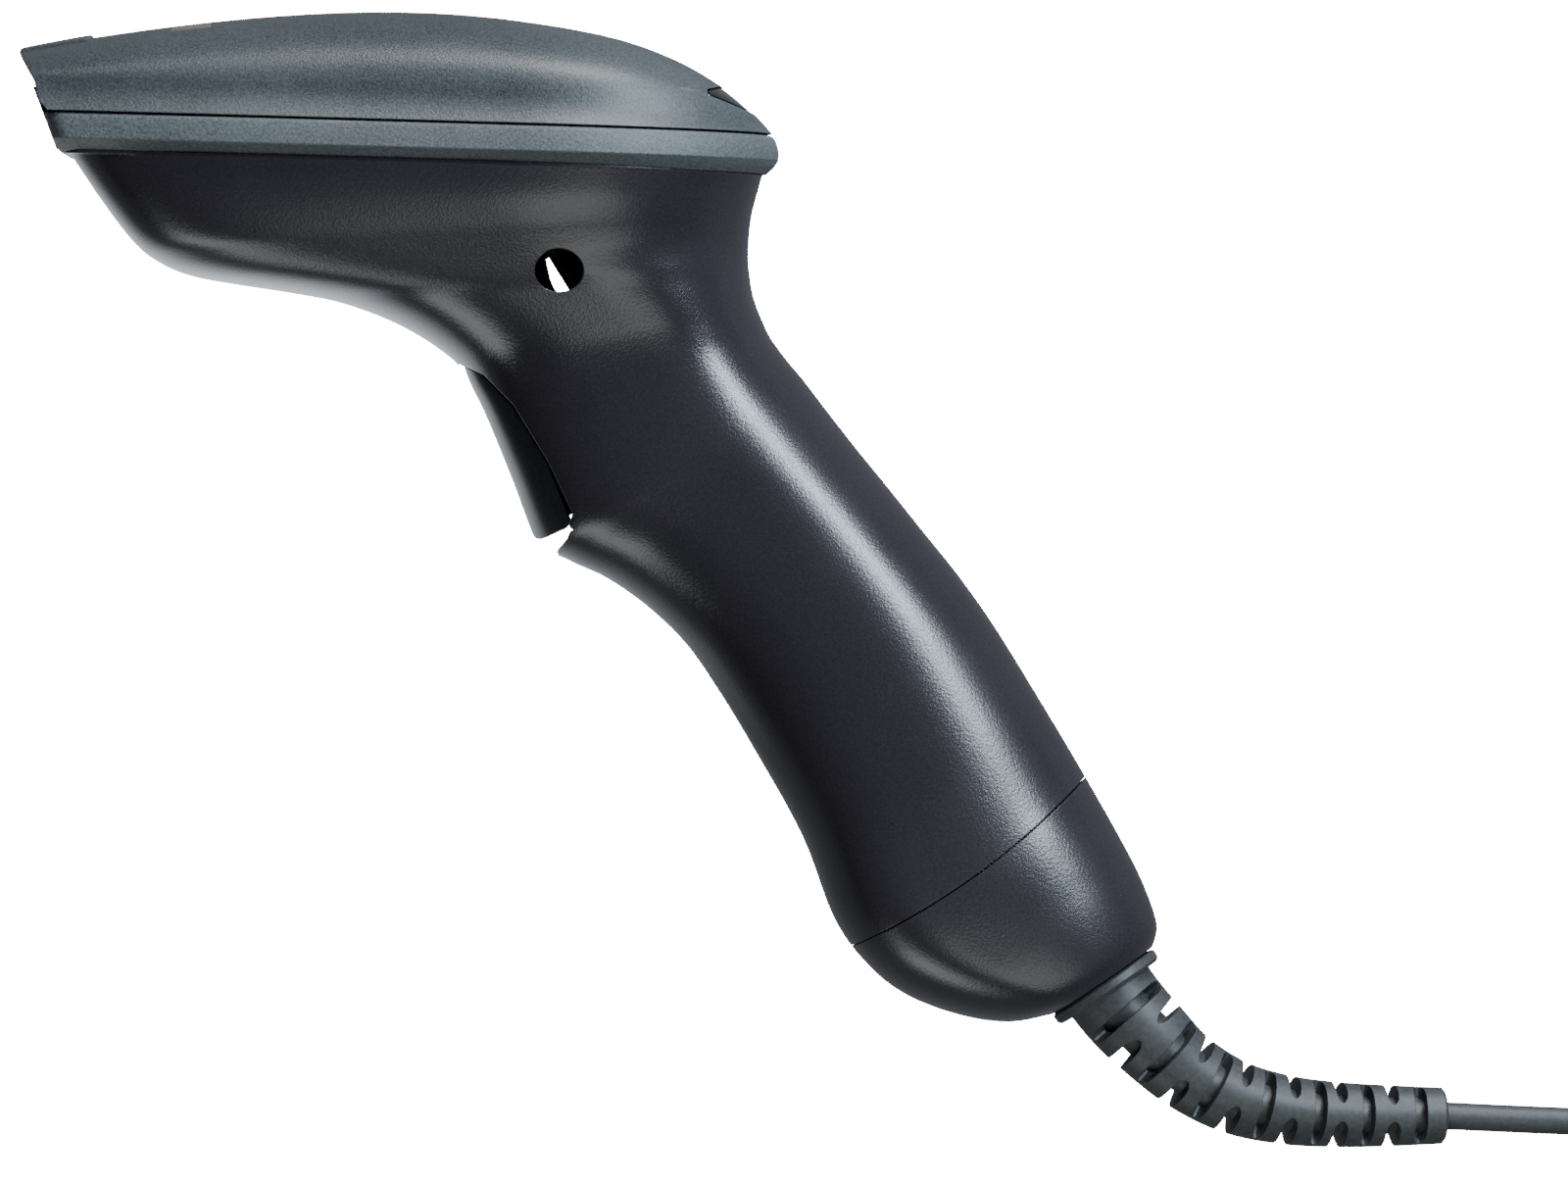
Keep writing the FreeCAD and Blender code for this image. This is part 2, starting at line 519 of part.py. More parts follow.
def make_electronics():
    x0, x1, half = MAIN_BOARD
    board = box(x0, x1, -half, half, MAIN_BOARD_TOP - BOARD_THICKNESS, MAIN_BOARD_TOP)
    board = board.cut(box(x1 - 12, x1 + 1, 12, half + 1, -20, 0))
    board = board.cut(box(x1 - 12, x1 + 1, -half - 1, -12, -20, 0))
    for x, y in BOARD_POSTS:
        board = board.cut(post(x, y, 0.95, -20, 0))
    nodes["main_board"] = board
    spacers = []
    screws = []
    for x, y in BOARD_POSTS:
        pillar = post(x, y, 2.4, MAIN_BOARD_TOP, CHASSIS_FLOOR)
        spacers.append(pillar.cut(post(x, y, 0.95, -20, 0)))
        screws.append(screw(Vector(x, y, MAIN_BOARD_TOP - BOARD_THICKNESS), (0, 0, 1), 7.0, 0.9, 1.7, 1.2))
    nodes["board_spacers"] = Part.makeCompound(spacers)
    nodes["board_screws"] = Part.makeCompound(screws)
    chips = [
        box(53, 65, -6, 6, MAIN_BOARD_TOP, MAIN_BOARD_TOP + 1.4),
        box(69, 77, -12, -4, MAIN_BOARD_TOP, MAIN_BOARD_TOP + 1.2),
        box(69, 75, 4, 12, MAIN_BOARD_TOP, MAIN_BOARD_TOP + 1.2),
        box(30, 38, -8, 8, MAIN_BOARD_TOP, MAIN_BOARD_TOP + 1.2),
    ]
    nodes["board_chips"] = Part.makeCompound(chips)
    socket = box(52.0, 55.0, 9.0, 18.0, MAIN_BOARD_TOP, MAIN_BOARD_TOP + 2.6)
    nodes["ribbon_socket"] = socket
    ribbon = prism(((48.8, -4.0), (50.6, -4.0), (50.6, -3.7), (51.1, -3.7), (51.1, -9.6), (53.2, -9.6),
                    (53.2, -10.3), (50.6, -10.3), (50.6, -4.3), (48.8, -4.3)), 3.5, 13.5)
    ribbon_slot = box(47.5, 51, 9.8, 17.2, -4.5, -3.5)
    nodes["optics_chassis"] = nodes["optics_chassis"].cut(ribbon_slot)
    ribbon = ribbon.fuse(box(48.1, 49.2, 10.0, 17.0, -4.3, -4.0))
    nodes["ribbon_cable"] = ribbon
    body = post(88.0, 0, 7.0, MAIN_BOARD_TOP, MAIN_BOARD_TOP + 6.5)
    body = body.cut(post(88.0, 0, 1.2, MAIN_BOARD_TOP + 4, MAIN_BOARD_TOP + 8))
    nodes["beeper"] = body
    nodes["indicator_led"] = box(95.2, 97.2, -1.0, 1.0, MAIN_BOARD_TOP, MAIN_BOARD_TOP + 1.1)
    pipe = prism(((95.2, -11.6), (97.2, -11.6), (98.4, -3.0), (104.2, 4.9), (103.6, 6.0),
                  (96.2, -1.0)), 2.0)
    nodes["light_pipe"] = pipe


# ---- trigger and its switch -----------------------------------------------------------
SWITCH_DOWN = 22.2             # place of the switch along the board
SWITCH_DEPTH = 4.0
PLUNGER_REACH = 2.4
ARM_HALF_WIDTH = 4.0


def trigger_form(inset):
    wires = []
    for front_x, front_z, back_x, back_z, half, square in TRIGGER_SLICES:
        length = math.hypot(back_x - front_x, back_z - front_z)
        ux, uz = (back_x - front_x) / length, (back_z - front_z) / length
        wires.append(slice_wire((front_x + ux * inset, front_z + uz * inset), (back_x, back_z),
                                half - inset, square))
    return stack(wires)


def shrunk(outline, gap):
    """A clockwise side outline, moved inwards by gap."""
    corners = []
    for i in range(len(outline)):
        before, corner, after = outline[i - 1], outline[i], outline[(i + 1) % len(outline)]
        in_way = math.hypot(corner[0] - before[0], corner[1] - before[1])
        out_way = math.hypot(after[0] - corner[0], after[1] - corner[1])
        first = ((corner[1] - before[1]) / in_way, (before[0] - corner[0]) / in_way)
        second = ((after[1] - corner[1]) / out_way, (corner[0] - after[0]) / out_way)
        scale = gap / (1 + first[0] * second[0] + first[1] * second[1])
        corners.append((corner[0] + (first[0] + second[0]) * scale,
                        corner[1] + (first[1] + second[1]) * scale))
    return corners


# The room inside the trigger, as (X, Z).
TRIGGER_ROOM = (
    (69.0, -41.2), (72.6, -37.8), (76.8, -43.0), (82.7, -52.3), (87.0, -60.4), (84.9, -61.2),
    (79.4, -63.6), (71.0, -66.0), (62.0, -44.0),
)
TRIGGER_ARM = (
    (70.2, -37.0), (77.2, -33.6), (79.4, -45.0), (84.6, -52.5), (87.4, -59.8), (84.2, -61.4),
    (77.0, -60.0), (70.6, -44.4),
)


def make_trigger():
    blade = trigger_form(0.0).common(prism(shrunk(TRIGGER_OUTLINE, TRIGGER_GAP), 40))
    blade = blade.cut(trigger_form(WALL - 0.4).common(prism(TRIGGER_ROOM, 40)))
    hub = cross_pin(*TRIGGER_PIVOT, 3.2, -7.8, 7.8)
    behind = box(66, 90, -ARM_HALF_WIDTH, ARM_HALF_WIDTH, -46, -30)
    arm = prism(TRIGGER_ARM, ARM_HALF_WIDTH).common(trigger_form(0.6).fuse([hub, behind]))
    reach = SWITCH_DEPTH + PLUNGER_REACH + CLEARANCE
    nub_tip = along_handle(SWITCH_DOWN, -reach)
    nub_top = along_handle(SWITCH_DOWN - 2.2, -reach - 1.0)
    nub_low = along_handle(SWITCH_DOWN + 2.2, -reach - 1.0)
    nub = prism((nub_top, nub_tip, nub_low, (79.5, -49.5), (76.5, -40.0)), ARM_HALF_WIDTH)
    trigger = blade.fuse([hub, arm, nub])
    nodes["trigger"] = trigger.cut(cross_pin(*TRIGGER_PIVOT, PIN_RADIUS + RUNNING_FIT, -20, 20))
    nodes["trigger_pin"] = cross_pin(*TRIGGER_PIVOT, PIN_RADIUS, -13.5, 13.5)


def make_trigger_spring():
    """A torsion spring on the pin, beside the trigger's hub, with a leg at each end."""
    wire_radius = 0.3
    helix = Part.makeHelix(SPRING_PITCH, SPRING_TURNS * SPRING_PITCH, 2.3).Edges[0]
    start, end = helix.valueAt(helix.FirstParameter), helix.valueAt(helix.LastParameter)
    start_way = helix.tangentAt(helix.FirstParameter)
    end_way = helix.tangentAt(helix.LastParameter)
    circle = Part.Wire(Part.makeCircle(wire_radius, start, start_way))
    coil = Part.Wire([helix]).makePipeShell([circle], True, True)
    legs = [Part.makeCylinder(wire_radius, 6.0, start, start_way * -1),
            Part.makeCylinder(wire_radius, 5.0, end, end_way)]
    spring = coil.fuse(legs)
    spring.Placement = Placement(point(*TRIGGER_PIVOT, SPRING_START), Rotation(Vector(1, 0, 0), -90))
    nodes["trigger_spring"] = spring


def make_trigger_switch():
    nodes["switch_board"] = handle_block(-1.5, 48.0, 0.0, BOARD_THICKNESS, -12, 12)
    body = handle_block(SWITCH_DOWN - 3.2, SWITCH_DOWN + 3.2, -SWITCH_DEPTH, 0.0, -3.2, 3.2)
    centre = along_handle(SWITCH_DOWN, -SWITCH_DEPTH - PLUNGER_REACH)
    axis = Vector(HANDLE_BACK[0], 0, HANDLE_BACK[1])
    well = Part.makeCylinder(1.6 + RUNNING_FIT, PLUNGER_REACH + 3.4, point(*centre), axis)
    nodes["switch_body"] = body.cut(well)
    nodes["switch_plunger"] = Part.makeCylinder(1.6, PLUNGER_REACH + 1.6, point(*centre), axis)
    pins = []
    for down in (-2.2, 2.2):
        for y in (-2.4, 2.4):
            pins.append(handle_block(SWITCH_DOWN + down - 0.3, SWITCH_DOWN + down + 0.3, BOARD_THICKNESS, 2.6,
                                     y - 0.3, y + 0.3))
    nodes["switch_pins"] = Part.makeCompound(pins)
    connector = handle_block(38.0, 44.0, BOARD_THICKNESS, 5.4, -5.0, 5.0)
    nodes["board_connector"] = connector


# ---- cable connection inside the handle ------------------------------------------------
def cable_frame(shape):
    """Move a shape drawn along +X from the origin so that it starts at the cap's end face."""
    angle = math.degrees(math.atan2(CABLE_OUT[1], CABLE_OUT[0]))
    shape.Placement = Placement(point(*CAP_FACE), Rotation(Vector(0, 1, 0), -angle))
    return shape


def make_cable_socket():
    plug = box(-25.0, -5.0, -5.8, 5.8, -4.0, 4.0)
    nodes["modular_plug"] = cable_frame(plug)
    jack = box(-30.0, -12.0, -8.4, 8.4, -7.0, 7.0).cut(box(-26.0, -11.0, -6.0, 6.0, -4.2, 4.2))
    nodes["modular_jack"] = cable_frame(jack)
    nodes["jack_board"] = cable_frame(box(-31.6, -30.0, -11.0, 11.0, -9.0, 9.0))
    contacts = [box(-24.0, -14.0, -4.4 + 1.1 * i - 0.2, -4.4 + 1.1 * i + 0.2, 4.0, 4.2) for i in range(9)]
    nodes["plug_contacts"] = cable_frame(Part.makeCompound(contacts))
    route = [point(154.6, -104.6), point(146.0, -92.0), point(134.5, -74.0), point(121.0, -55.0),
             point(110.5, -38.0), point(104.0, -24.0), point(92.0, -17.2)]
    wires = []
    for y in (-2.4, -0.8, 0.8, 2.4):
        shifted = [p + Vector(0, y, 0) for p in route]
        wires.append(tube(shifted, 0.7))
    nodes["handle_wires"] = Part.makeCompound(wires)


# ---- tubes along a route ---------------------------------------------------------------
def rounded_route(points, report=None):
    """Straight runs joined by tangent arcs, each arc as large as its two runs allow."""
    edges = []
    start = points[0]
    for i in range(1, len(points) - 1):
        before, corner, after = points[i - 1], points[i], points[i + 1]
        back = (before - corner).normalize()
        ahead = (after - corner).normalize()
        turn = math.pi - back.getAngle(ahead)
        reach = 0.45 * min(before.distanceToPoint(corner), after.distanceToPoint(corner))
        radius = reach / math.tan(turn / 2)
        if report is not None:
            report.append(radius)
        centre_way = (back + ahead).normalize()
        middle = corner + centre_way * (radius / math.cos(turn / 2) - radius)
        first = corner + back * reach
        last = corner + ahead * reach
        edges.append(Part.LineSegment(start, first).toShape())
        edges.append(Part.Arc(first, middle, last).toShape())
        start = last
    edges.append(Part.LineSegment(start, points[-1]).toShape())
    return Part.Wire(edges)


def tube(points, radius, report=None):
    """A round tube along a route; its volume is compared with section times length."""
    path = rounded_route(points, report)
    direction = points[1] - points[0]
    section = Part.Wire(Part.makeCircle(radius, points[0], direction))
    solid = path.makePipeShell([section], True, False)
    expected = math.pi * radius**2 * path.Length
    if abs(solid.Volume / expected - 1) > 0.01:
        raise ValueError("tube volume differs from section times length")
    return solid


# ---- the lying pose --------------------------------------------------------------------
LIE_ROLL_DEG = 6.25            # the head is wider than the cap, so the scanner rolls towards it
LIE_TURN_DEG = -90 + LIE_ROLL_DEG


def lie_down(shape, lift):
    """Turn a shape of the design frame onto the table and lift it onto the surface."""
    shape = shape.copy()
    turn = Placement(Vector(0, 0, lift), Rotation(Vector(1, 0, 0), LIE_TURN_DEG))
    shape.Placement = turn.multiply(shape.Placement)
    return shape


# ---- strain relief, cable, coil and plug (drawn on the table) ---------------------------
# Middle line of the strain relief as (design X, design Z, height above the table).
RELIEF_ROUTE = (
    (171.6, -133.15, 0.0), (178.9, -141.3, 0.0), (185.4, -147.0, 15.0), (193.0, -151.0, 13.2),
    (201.4, -152.9, 11.0), (210.0, -153.5, 8.6), (218.6, -153.5, 6.4), (226.9, -153.3, 4.9),
)
RELIEF_RADII = (7.4, 7.1, 6.4, 6.0, 5.6, 5.25, 4.9, 4.5)
FLANGE_RADIUS = 9.6
FLANGE_THICKNESS = 2.2
NECK_RADIUS = 5.6              # the relief's neck, held in the end cap's hole
NECK_LENGTH = 4.8
SLOT_WIDTH = 1.5
SLOT_DEPTH = 0.31              # of the relief's diameter, from each side
SLOT_PAIRS = 6
RELIEF_STATIONS = 9


def on_table(x, z, height, lift):
    """The lying place of a point that is seen at (X, Z) square to the scanner's side."""
    roll = math.radians(LIE_ROLL_DEG)
    y = (z - (height - lift) * math.sin(roll)) / math.cos(roll)
    return Vector(x, y, height)


def relief_line(lift):
    """The strain relief's middle line as a smooth curve, from the cap's face outwards."""
    roll = math.radians(LIE_ROLL_DEG)
    points = []
    for x, z, height in RELIEF_ROUTE:
        if height == 0.0:
            height = lift + z * math.sin(roll)
        points.append(on_table(x, z, height, lift))
    curve = Part.BSplineCurve()
    start_way = Vector(CABLE_OUT[0], CABLE_OUT[1] * math.cos(roll), CABLE_OUT[1] * math.sin(roll))
    curve.interpolate(points, InitialTangent=start_way, FinalTangent=Vector(1, 0, -0.12))
    return curve


def relief_radius(part):
    """Radius of the strain relief at a part (0 to 1) of its length."""
    stations = [(i / (len(RELIEF_RADII) - 1), r) for i, r in enumerate(RELIEF_RADII)]
    return smooth(stations, part)


def make_strain_relief(lift):
    curve = relief_line(lift)
    length = curve.length()
    up = Vector(0, 0, 1)
    wires = []
    for i in range(RELIEF_STATIONS):
        part = i / (RELIEF_STATIONS - 1)
        parameter = curve.parameterAtDistance(length * part, curve.FirstParameter)
        place = curve.value(parameter)
        side = curve.tangent(parameter)[0].cross(up).normalize()
        above = side.cross(curve.tangent(parameter)[0]).normalize()
        ring = []
        for j in range(12):
            angle = math.pi * j / 6
            ring.append(place + (side * math.cos(angle) + above * math.sin(angle)) * relief_radius(part))
        wires.append(closed_spline(ring))
    relief = Part.makeLoft(wires, True, False)
    start = curve.value(curve.FirstParameter)
    out = curve.tangent(curve.FirstParameter)[0]
    flange = Part.makeCylinder(FLANGE_RADIUS, FLANGE_THICKNESS, start, out)
    neck = Part.makeCylinder(NECK_RADIUS, NECK_LENGTH + 0.2, start - out * NECK_LENGTH, out)
    slots = []
    count = 2 * SLOT_PAIRS + 1
    for i in range(count):
        part = (9.0 + i * (length - 13.5) / (count - 1)) / length
        parameter = curve.parameterAtDistance(length * part, curve.FirstParameter)
        place = curve.value(parameter)
        way = curve.tangent(parameter)[0]
        side = way.cross(up).normalize()
        if i % 2 == 0:
            side = side.cross(way).normalize()
        radius = relief_radius(part)
        bottom = radius * (1 - 2 * SLOT_DEPTH)
        for sign in (-1, 1):
            slab = Part.makeBox(SLOT_WIDTH, 4 * radius, radius * 2,
                                Vector(-SLOT_WIDTH / 2, -2 * radius, bottom))
            outwards = side * sign
            slab.Placement = Placement(place, Rotation(way, way.cross(outwards) * -1, outwards, "XZY"))
            slots.append(slab)
    relief = relief.cut(slots)
    nodes["strain_relief"] = relief.fuse(flange).fuse(neck)
    return curve.value(curve.LastParameter)


def ring_section(radius, height, width, corner):
    """A ring on the table, of rectangular section with rounded corners."""
    half = width / 2
    profile = Part.makePolygon([Vector(radius - half, 0, 0), Vector(radius + half, 0, 0),
                                Vector(radius + half, 0, height), Vector(radius - half, 0, height),
                                Vector(radius - half, 0, 0)])
    ring = Part.Face(profile).revolve(Vector(0, 0, 0), Vector(0, 0, 1), 360)
    return ring.makeFillet(corner, ring.Edges)


def make_cable(exit_point):
    """The cable from the strain relief to the coil, the coil with its tie, and the end to the plug."""
    floor = CABLE_DIAMETER / 2 + 0.05
    outer_turn = COIL_MIDDLE_RADIUS + (COIL_TURNS_PER_LAYER - 1) / 2 * CABLE_DIAMETER
    centre = Vector(exit_point.x + 62.0, exit_point.y + outer_turn, 0)
    radii = []
    route = [
        exit_point,
        Vector(exit_point.x + 19.0, exit_point.y - 0.25, floor + 0.7),
        Vector(exit_point.x + 40.0, exit_point.y - 0.1, floor),
        Vector(centre.x, exit_point.y, floor + 0.1),
    ]
    nodes["cable"] = tube(route, CABLE_DIAMETER / 2, radii)
    height = COIL_LAYERS * CABLE_DIAMETER + 0.1
    width = COIL_TURNS_PER_LAYER * CABLE_DIAMETER
    coil = ring_section(COIL_MIDDLE_RADIUS, height, width, 2.0)
    coil.translate(centre)
    nodes["cable_coil"] = coil
    right = centre.x + outer_turn
    level = CABLE_DIAMETER * 1.5
    tail = [
        Vector(right, centre.y, level),
        Vector(right + 0.9, centre.y + 13.0, level - 1.6),
        Vector(right + 1.1, centre.y + 25.0, PLUG_AXIS_HEIGHT),
    ]
    nodes["cable_end"] = tube(tail, CABLE_DIAMETER / 2, radii)
    print("cable arc radii:", [round(r, 1) for r in radii])
    return centre, tail[-1], tail[-1] - tail[-2]


def make_tie(centre):
    """A hook-and-loop tie round the coil's bundle, at its far side."""
    thickness = 0.9
    width = COIL_TURNS_PER_LAYER * CABLE_DIAMETER
    height = COIL_LAYERS * CABLE_DIAMETER + 0.1
    middle = COIL_MIDDLE_RADIUS
    outer = box(-5, 5, middle - width / 2 - 0.8 - thickness, middle + width / 2 + thickness, 0,
                height + thickness)
    near = middle - width / 2 - 0.8           # the bundle's inner edge curves away at the tie's sides
    inner = box(-6, 6, near, middle + width / 2 + 0.05, -1, height + 0.05)
    tie = outer.cut(inner)
    tie.translate(centre)
    nodes["cable_tie"] = tie


PLUG_AXIS_HEIGHT = 4.2
PLUG_WIDTH = 15.6
PLUG_THICKNESS = 8.0
PLUG_LENGTH = 27.0
USB_WIDTH = 12.0
USB_HEIGHT = 4.5
USB_LENGTH = 12.0
USB_SHEET = 0.3


def rounded_bar(x0, x1, width, height, corner):
    """A bar along X, centred on the X axis, with its four long edges rounded."""
    bar = box(x0, x1, -width / 2, width / 2, -height / 2, height / 2)
    long_edges = [e for e in bar.Edges if abs(e.tangentAt(e.FirstParameter).x) > 0.9]
    return bar.makeFillet(corner, long_edges)


def make_usb_plug(place, way):
    """A type A plug; it is drawn along +X and set at the end of the cable."""
    boot = Part.makeCone(CABLE_DIAMETER / 2 + 0.9, 3.6, 8.0, Vector(0, 0, 0), Vector(1, 0, 0))
    body = rounded_bar(8.0, PLUG_LENGTH, PLUG_WIDTH, PLUG_THICKNESS, 1.8)
    mould = boot.fuse(body)
    shell = rounded_bar(PLUG_LENGTH - 4, PLUG_LENGTH + USB_LENGTH, USB_WIDTH, USB_HEIGHT, 0.5)
    opening = rounded_bar(PLUG_LENGTH - 3.6, PLUG_LENGTH + USB_LENGTH + 1,
                          USB_WIDTH - 2 * USB_SHEET, USB_HEIGHT - 2 * USB_SHEET, 0.3)
    mould = mould.cut(rounded_bar(PLUG_LENGTH - 4, PLUG_LENGTH + 1, USB_WIDTH, USB_HEIGHT, 0.5))
    windows = [box(PLUG_LENGTH + 4.2, PLUG_LENGTH + 6.7, y - 1.25, y + 1.25, -4, 4) for y in (-2.9, 2.9)]
    tongue = box(PLUG_LENGTH - 3.6, PLUG_LENGTH + USB_LENGTH - 0.4, -5.6, 5.6, -USB_HEIGHT / 2 + USB_SHEET, -0.1)
    contacts = []
    for y, first in ((-3.5, 0.8), (-1.0, 1.8), (1.0, 1.8), (3.5, 0.8)):
        contacts.append(box(PLUG_LENGTH, PLUG_LENGTH + USB_LENGTH - first, y - 0.5, y + 0.5, -0.1, 0.05))
    pieces = {
        "usb_overmould": mould,
        "usb_shell": shell.cut(opening).cut(windows),
        "usb_tongue": tongue,
        "usb_contacts": Part.makeCompound(contacts),
    }
    level_way = Vector(way.x, way.y, 0)
    turn = Rotation(Vector(1, 0, 0), level_way)
    for name, shape in pieces.items():
        shape.Placement = Placement(place, turn).multiply(shape.Placement)
        nodes[name] = shape


CABLE_NODES = ("cable", "cable_coil", "cable_end", "cable_tie", "usb_overmould", "usb_shell",
               "usb_tongue", "usb_contacts")


def main():
    make_top_cover()
    make_bumper_band()
    make_housing()
    make_shell_screws()
    make_window()
    make_optics()
    make_electronics()
    make_trigger()
    make_trigger_spring()
    make_trigger_switch()
    make_cable_socket()
    lowest = min(lie_down(shape, 0.0).optimalBoundingBox(False).ZMin for shape in nodes.values())
    for name in list(nodes):
        nodes[name] = lie_down(nodes[name], -lowest)
    exit_point = make_strain_relief(-lowest)
    centre, end, way = make_cable(exit_point)
    make_tie(centre)
    make_usb_plug(end, way)
    bounds = FreeCAD.BoundBox()
    for name, shape in nodes.items():
        if name not in CABLE_NODES:
            bounds.add(shape.optimalBoundingBox(False))
    shift = Vector(-bounds.Center.x, -bounds.Center.y, -bounds.ZMin)
    os.makedirs(PARTS_FOLDER, exist_ok=True)
    for name, shape in nodes.items():
        shape.translate(shift)
        shape.exportStep(f"{PARTS_FOLDER}/{name}.step")


main()
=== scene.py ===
import math

import bmesh
import bpy
from mathutils import Matrix, Vector


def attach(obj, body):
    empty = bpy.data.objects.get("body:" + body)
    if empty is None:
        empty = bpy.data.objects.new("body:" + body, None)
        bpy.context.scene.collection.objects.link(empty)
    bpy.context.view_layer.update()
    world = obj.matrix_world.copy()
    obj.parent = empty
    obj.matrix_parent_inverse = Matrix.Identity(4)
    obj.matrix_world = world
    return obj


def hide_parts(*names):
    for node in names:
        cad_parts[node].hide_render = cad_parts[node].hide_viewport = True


# A handheld barcode scanner that lies on its side on a pale table, with its coiled cable.
# The outer pieces are made here in millimetres in the scanner's own frame (X from the nose to
# the rear, Z up through the top cover, Y across) and then laid on the table in metres.

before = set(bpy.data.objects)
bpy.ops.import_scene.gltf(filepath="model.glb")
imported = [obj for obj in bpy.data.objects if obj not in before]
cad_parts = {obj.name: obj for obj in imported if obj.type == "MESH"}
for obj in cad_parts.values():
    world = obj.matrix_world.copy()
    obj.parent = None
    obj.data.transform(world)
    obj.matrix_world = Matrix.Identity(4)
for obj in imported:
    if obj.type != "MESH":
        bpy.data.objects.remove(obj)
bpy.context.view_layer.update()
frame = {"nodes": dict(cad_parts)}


# Sizes in millimetres, in the scanner's own frame.
WALL = 2.2
SEAM_GAP = 0.35                     # between the cover and the band
HEAD_REAR = 115.2
TAPER_START = 75.0                  # X where the head's plan begins to narrow to the rear
REAR_POWER = 2.2                    # squareness of the plan behind that
NOSE_CORNER = 3.0
NOSE_TAPER = 1.2                    # how much narrower the head is at the nose
NOSE_TAPER_LENGTH = 40.0
COVER_FRONT = -5.4
COVER_HALF_WIDTH = 31.0
COVER_POWER = 3.3                   # squareness of the cover's rounding
COVER_MIDDLE = 60.0                 # X that the cover's rings shrink to
COVER_RINGS = 26
FOOT_HEIGHT = 4.8
FOOT_PART = 0.06                    # part of the half width that the flared foot takes
FOOT_CURVE = 1.5
FOOT_RINGS = 9
BADGE = (19.4, 25.8, 18.0, 0.5)     # X from, X to, half width, thickness
BAND_HEIGHT = 6.1
HOLE = (82.1, -22.6, 3.9, 3.4)      # X, Z and radii of the side hole
PIVOT = (74.0, -34.0)               # trigger's pin
TRAVEL = math.radians(6.0)
SLOPE = math.radians(56.6)          # of the handle
BOARD_TOP = (80.1, -20.2)           # upper end of the trigger's board
ROLL = math.radians(-83.75)         # the scanner lies on its side
LAID_AT = (-111.368, 69.028, 32.106)

# Slices of the housing and handle: front and back points (X, Z), half width, squareness.
HOUSING_SLICES = (
    (3.9, -6.2, 113.8, -6.2, 29.8, 7.0), (9.0, -13.4, 113.0, -9.5, 28.9, 6.5),
    (13.9, -19.5, 112.4, -12.0, 27.6, 6.0), (17.7, -22.6, 112.1, -14.2, 26.4, 5.0),
    (22.9, -24.7, 111.95, -16.4, 25.3, 4.4), (30.4, -25.9, 111.9, -18.5, 24.4, 4.2),
    (39.0, -27.0, 112.0, -20.6, 23.5, 4.0), (47.2, -28.4, 112.3, -22.7, 22.5, 3.8),
    (55.7, -31.3, 112.7, -24.8, 21.5, 3.6), (62.5, -35.0, 113.4, -27.0, 20.5, 3.4),
    (67.2, -39.0, 114.4, -29.3, 19.6, 3.3), (70.8, -45.7, 115.8, -32.0, 18.9, 3.0),
    (75.2, -55.6, 118.4, -35.4, 18.45, 2.8), (80.0, -65.6, 121.3, -38.7, 18.2, 2.6),
    (84.6, -68.4, 124.3, -42.4, 18.0, 2.5), (91.0, -71.2, 129.3, -48.5, 17.8, 2.4),
    (97.6, -75.6, 134.9, -55.0, 17.6, 2.4), (103.7, -81.2, 141.0, -62.2, 17.5, 2.4),
    (108.9, -88.2, 147.2, -69.5, 17.5, 2.4), (114.6, -97.0, 153.2, -77.6, 17.5, 2.4),
    (123.0, -111.1, 160.6, -88.9, 17.6, 2.4), (128.6, -124.4, 166.0, -97.4, 17.7, 2.4),
    (134.4, -131.8, 170.2, -104.2, 17.4, 2.4), (140.7, -136.3, 173.8, -110.2, 16.6, 2.3),
    (149.3, -139.2, 177.4, -116.8, 15.4, 2.2), (157.0, -140.0, 180.0, -123.6, 13.6, 2.1),
    (163.6, -138.6, 179.4, -127.4, 11.2, 2.0),
)
WIDEST = 0.58                       # where a slice is widest, as a part of its length
WIDEST_DROP = 0.26                  # by how much that moves forward down the handle
WIDEST_DROP_FROM = -68.0
WIDEST_DROP_LENGTH = 60.0
BACK_POWER = 2.3                    # largest squareness of a slice's back

# The cover's top in the plane of symmetry, and what is cut off at its nose.
TOP_LINE = (
    (-6.0, 9.8), (6.0, 12.4), (19.3, 14.7), (33.5, 16.6), (48.0, 17.8), (61.9, 18.0),
    (74.2, 17.2), (89.1, 15.0), (99.4, 11.7), (107.3, 7.4), (112.5, 3.2), (HEAD_REAR, 0.4),
)
NOSE_CUT = (
    (0.7, SEAM_GAP), (-0.4, 1.5), (-1.1, 3.1), (-1.5, 4.8), (-4.1, 9.0), (-4.5, 9.7), (-4.45, 10.2),
    (-4.1, 10.6), (-3.5, 10.9), (-4.2, 13.0), (-12.0, 13.0), (-12.0, -2.0), (0.7, -2.0),
)
# The band's upper and lower face: Z, how far out of the cover's side, front and rear X.
BAND_UPPER = (
    (0.0, -0.2, 0.2, 115.1), (-0.3, 0.15, 0.3, 115.5), (-1.0, 0.4, 0.45, 115.9),
    (-2.4, 0.7, 0.95, 116.3), (-3.9, 0.9, 1.5, 116.3),
)
BAND_LOWER = (
    (-4.0, 0.85, 1.55, 116.2), (-4.9, -0.5, 2.0, 115.7), (-BAND_HEIGHT, -2.4, 2.7, 114.4),
)
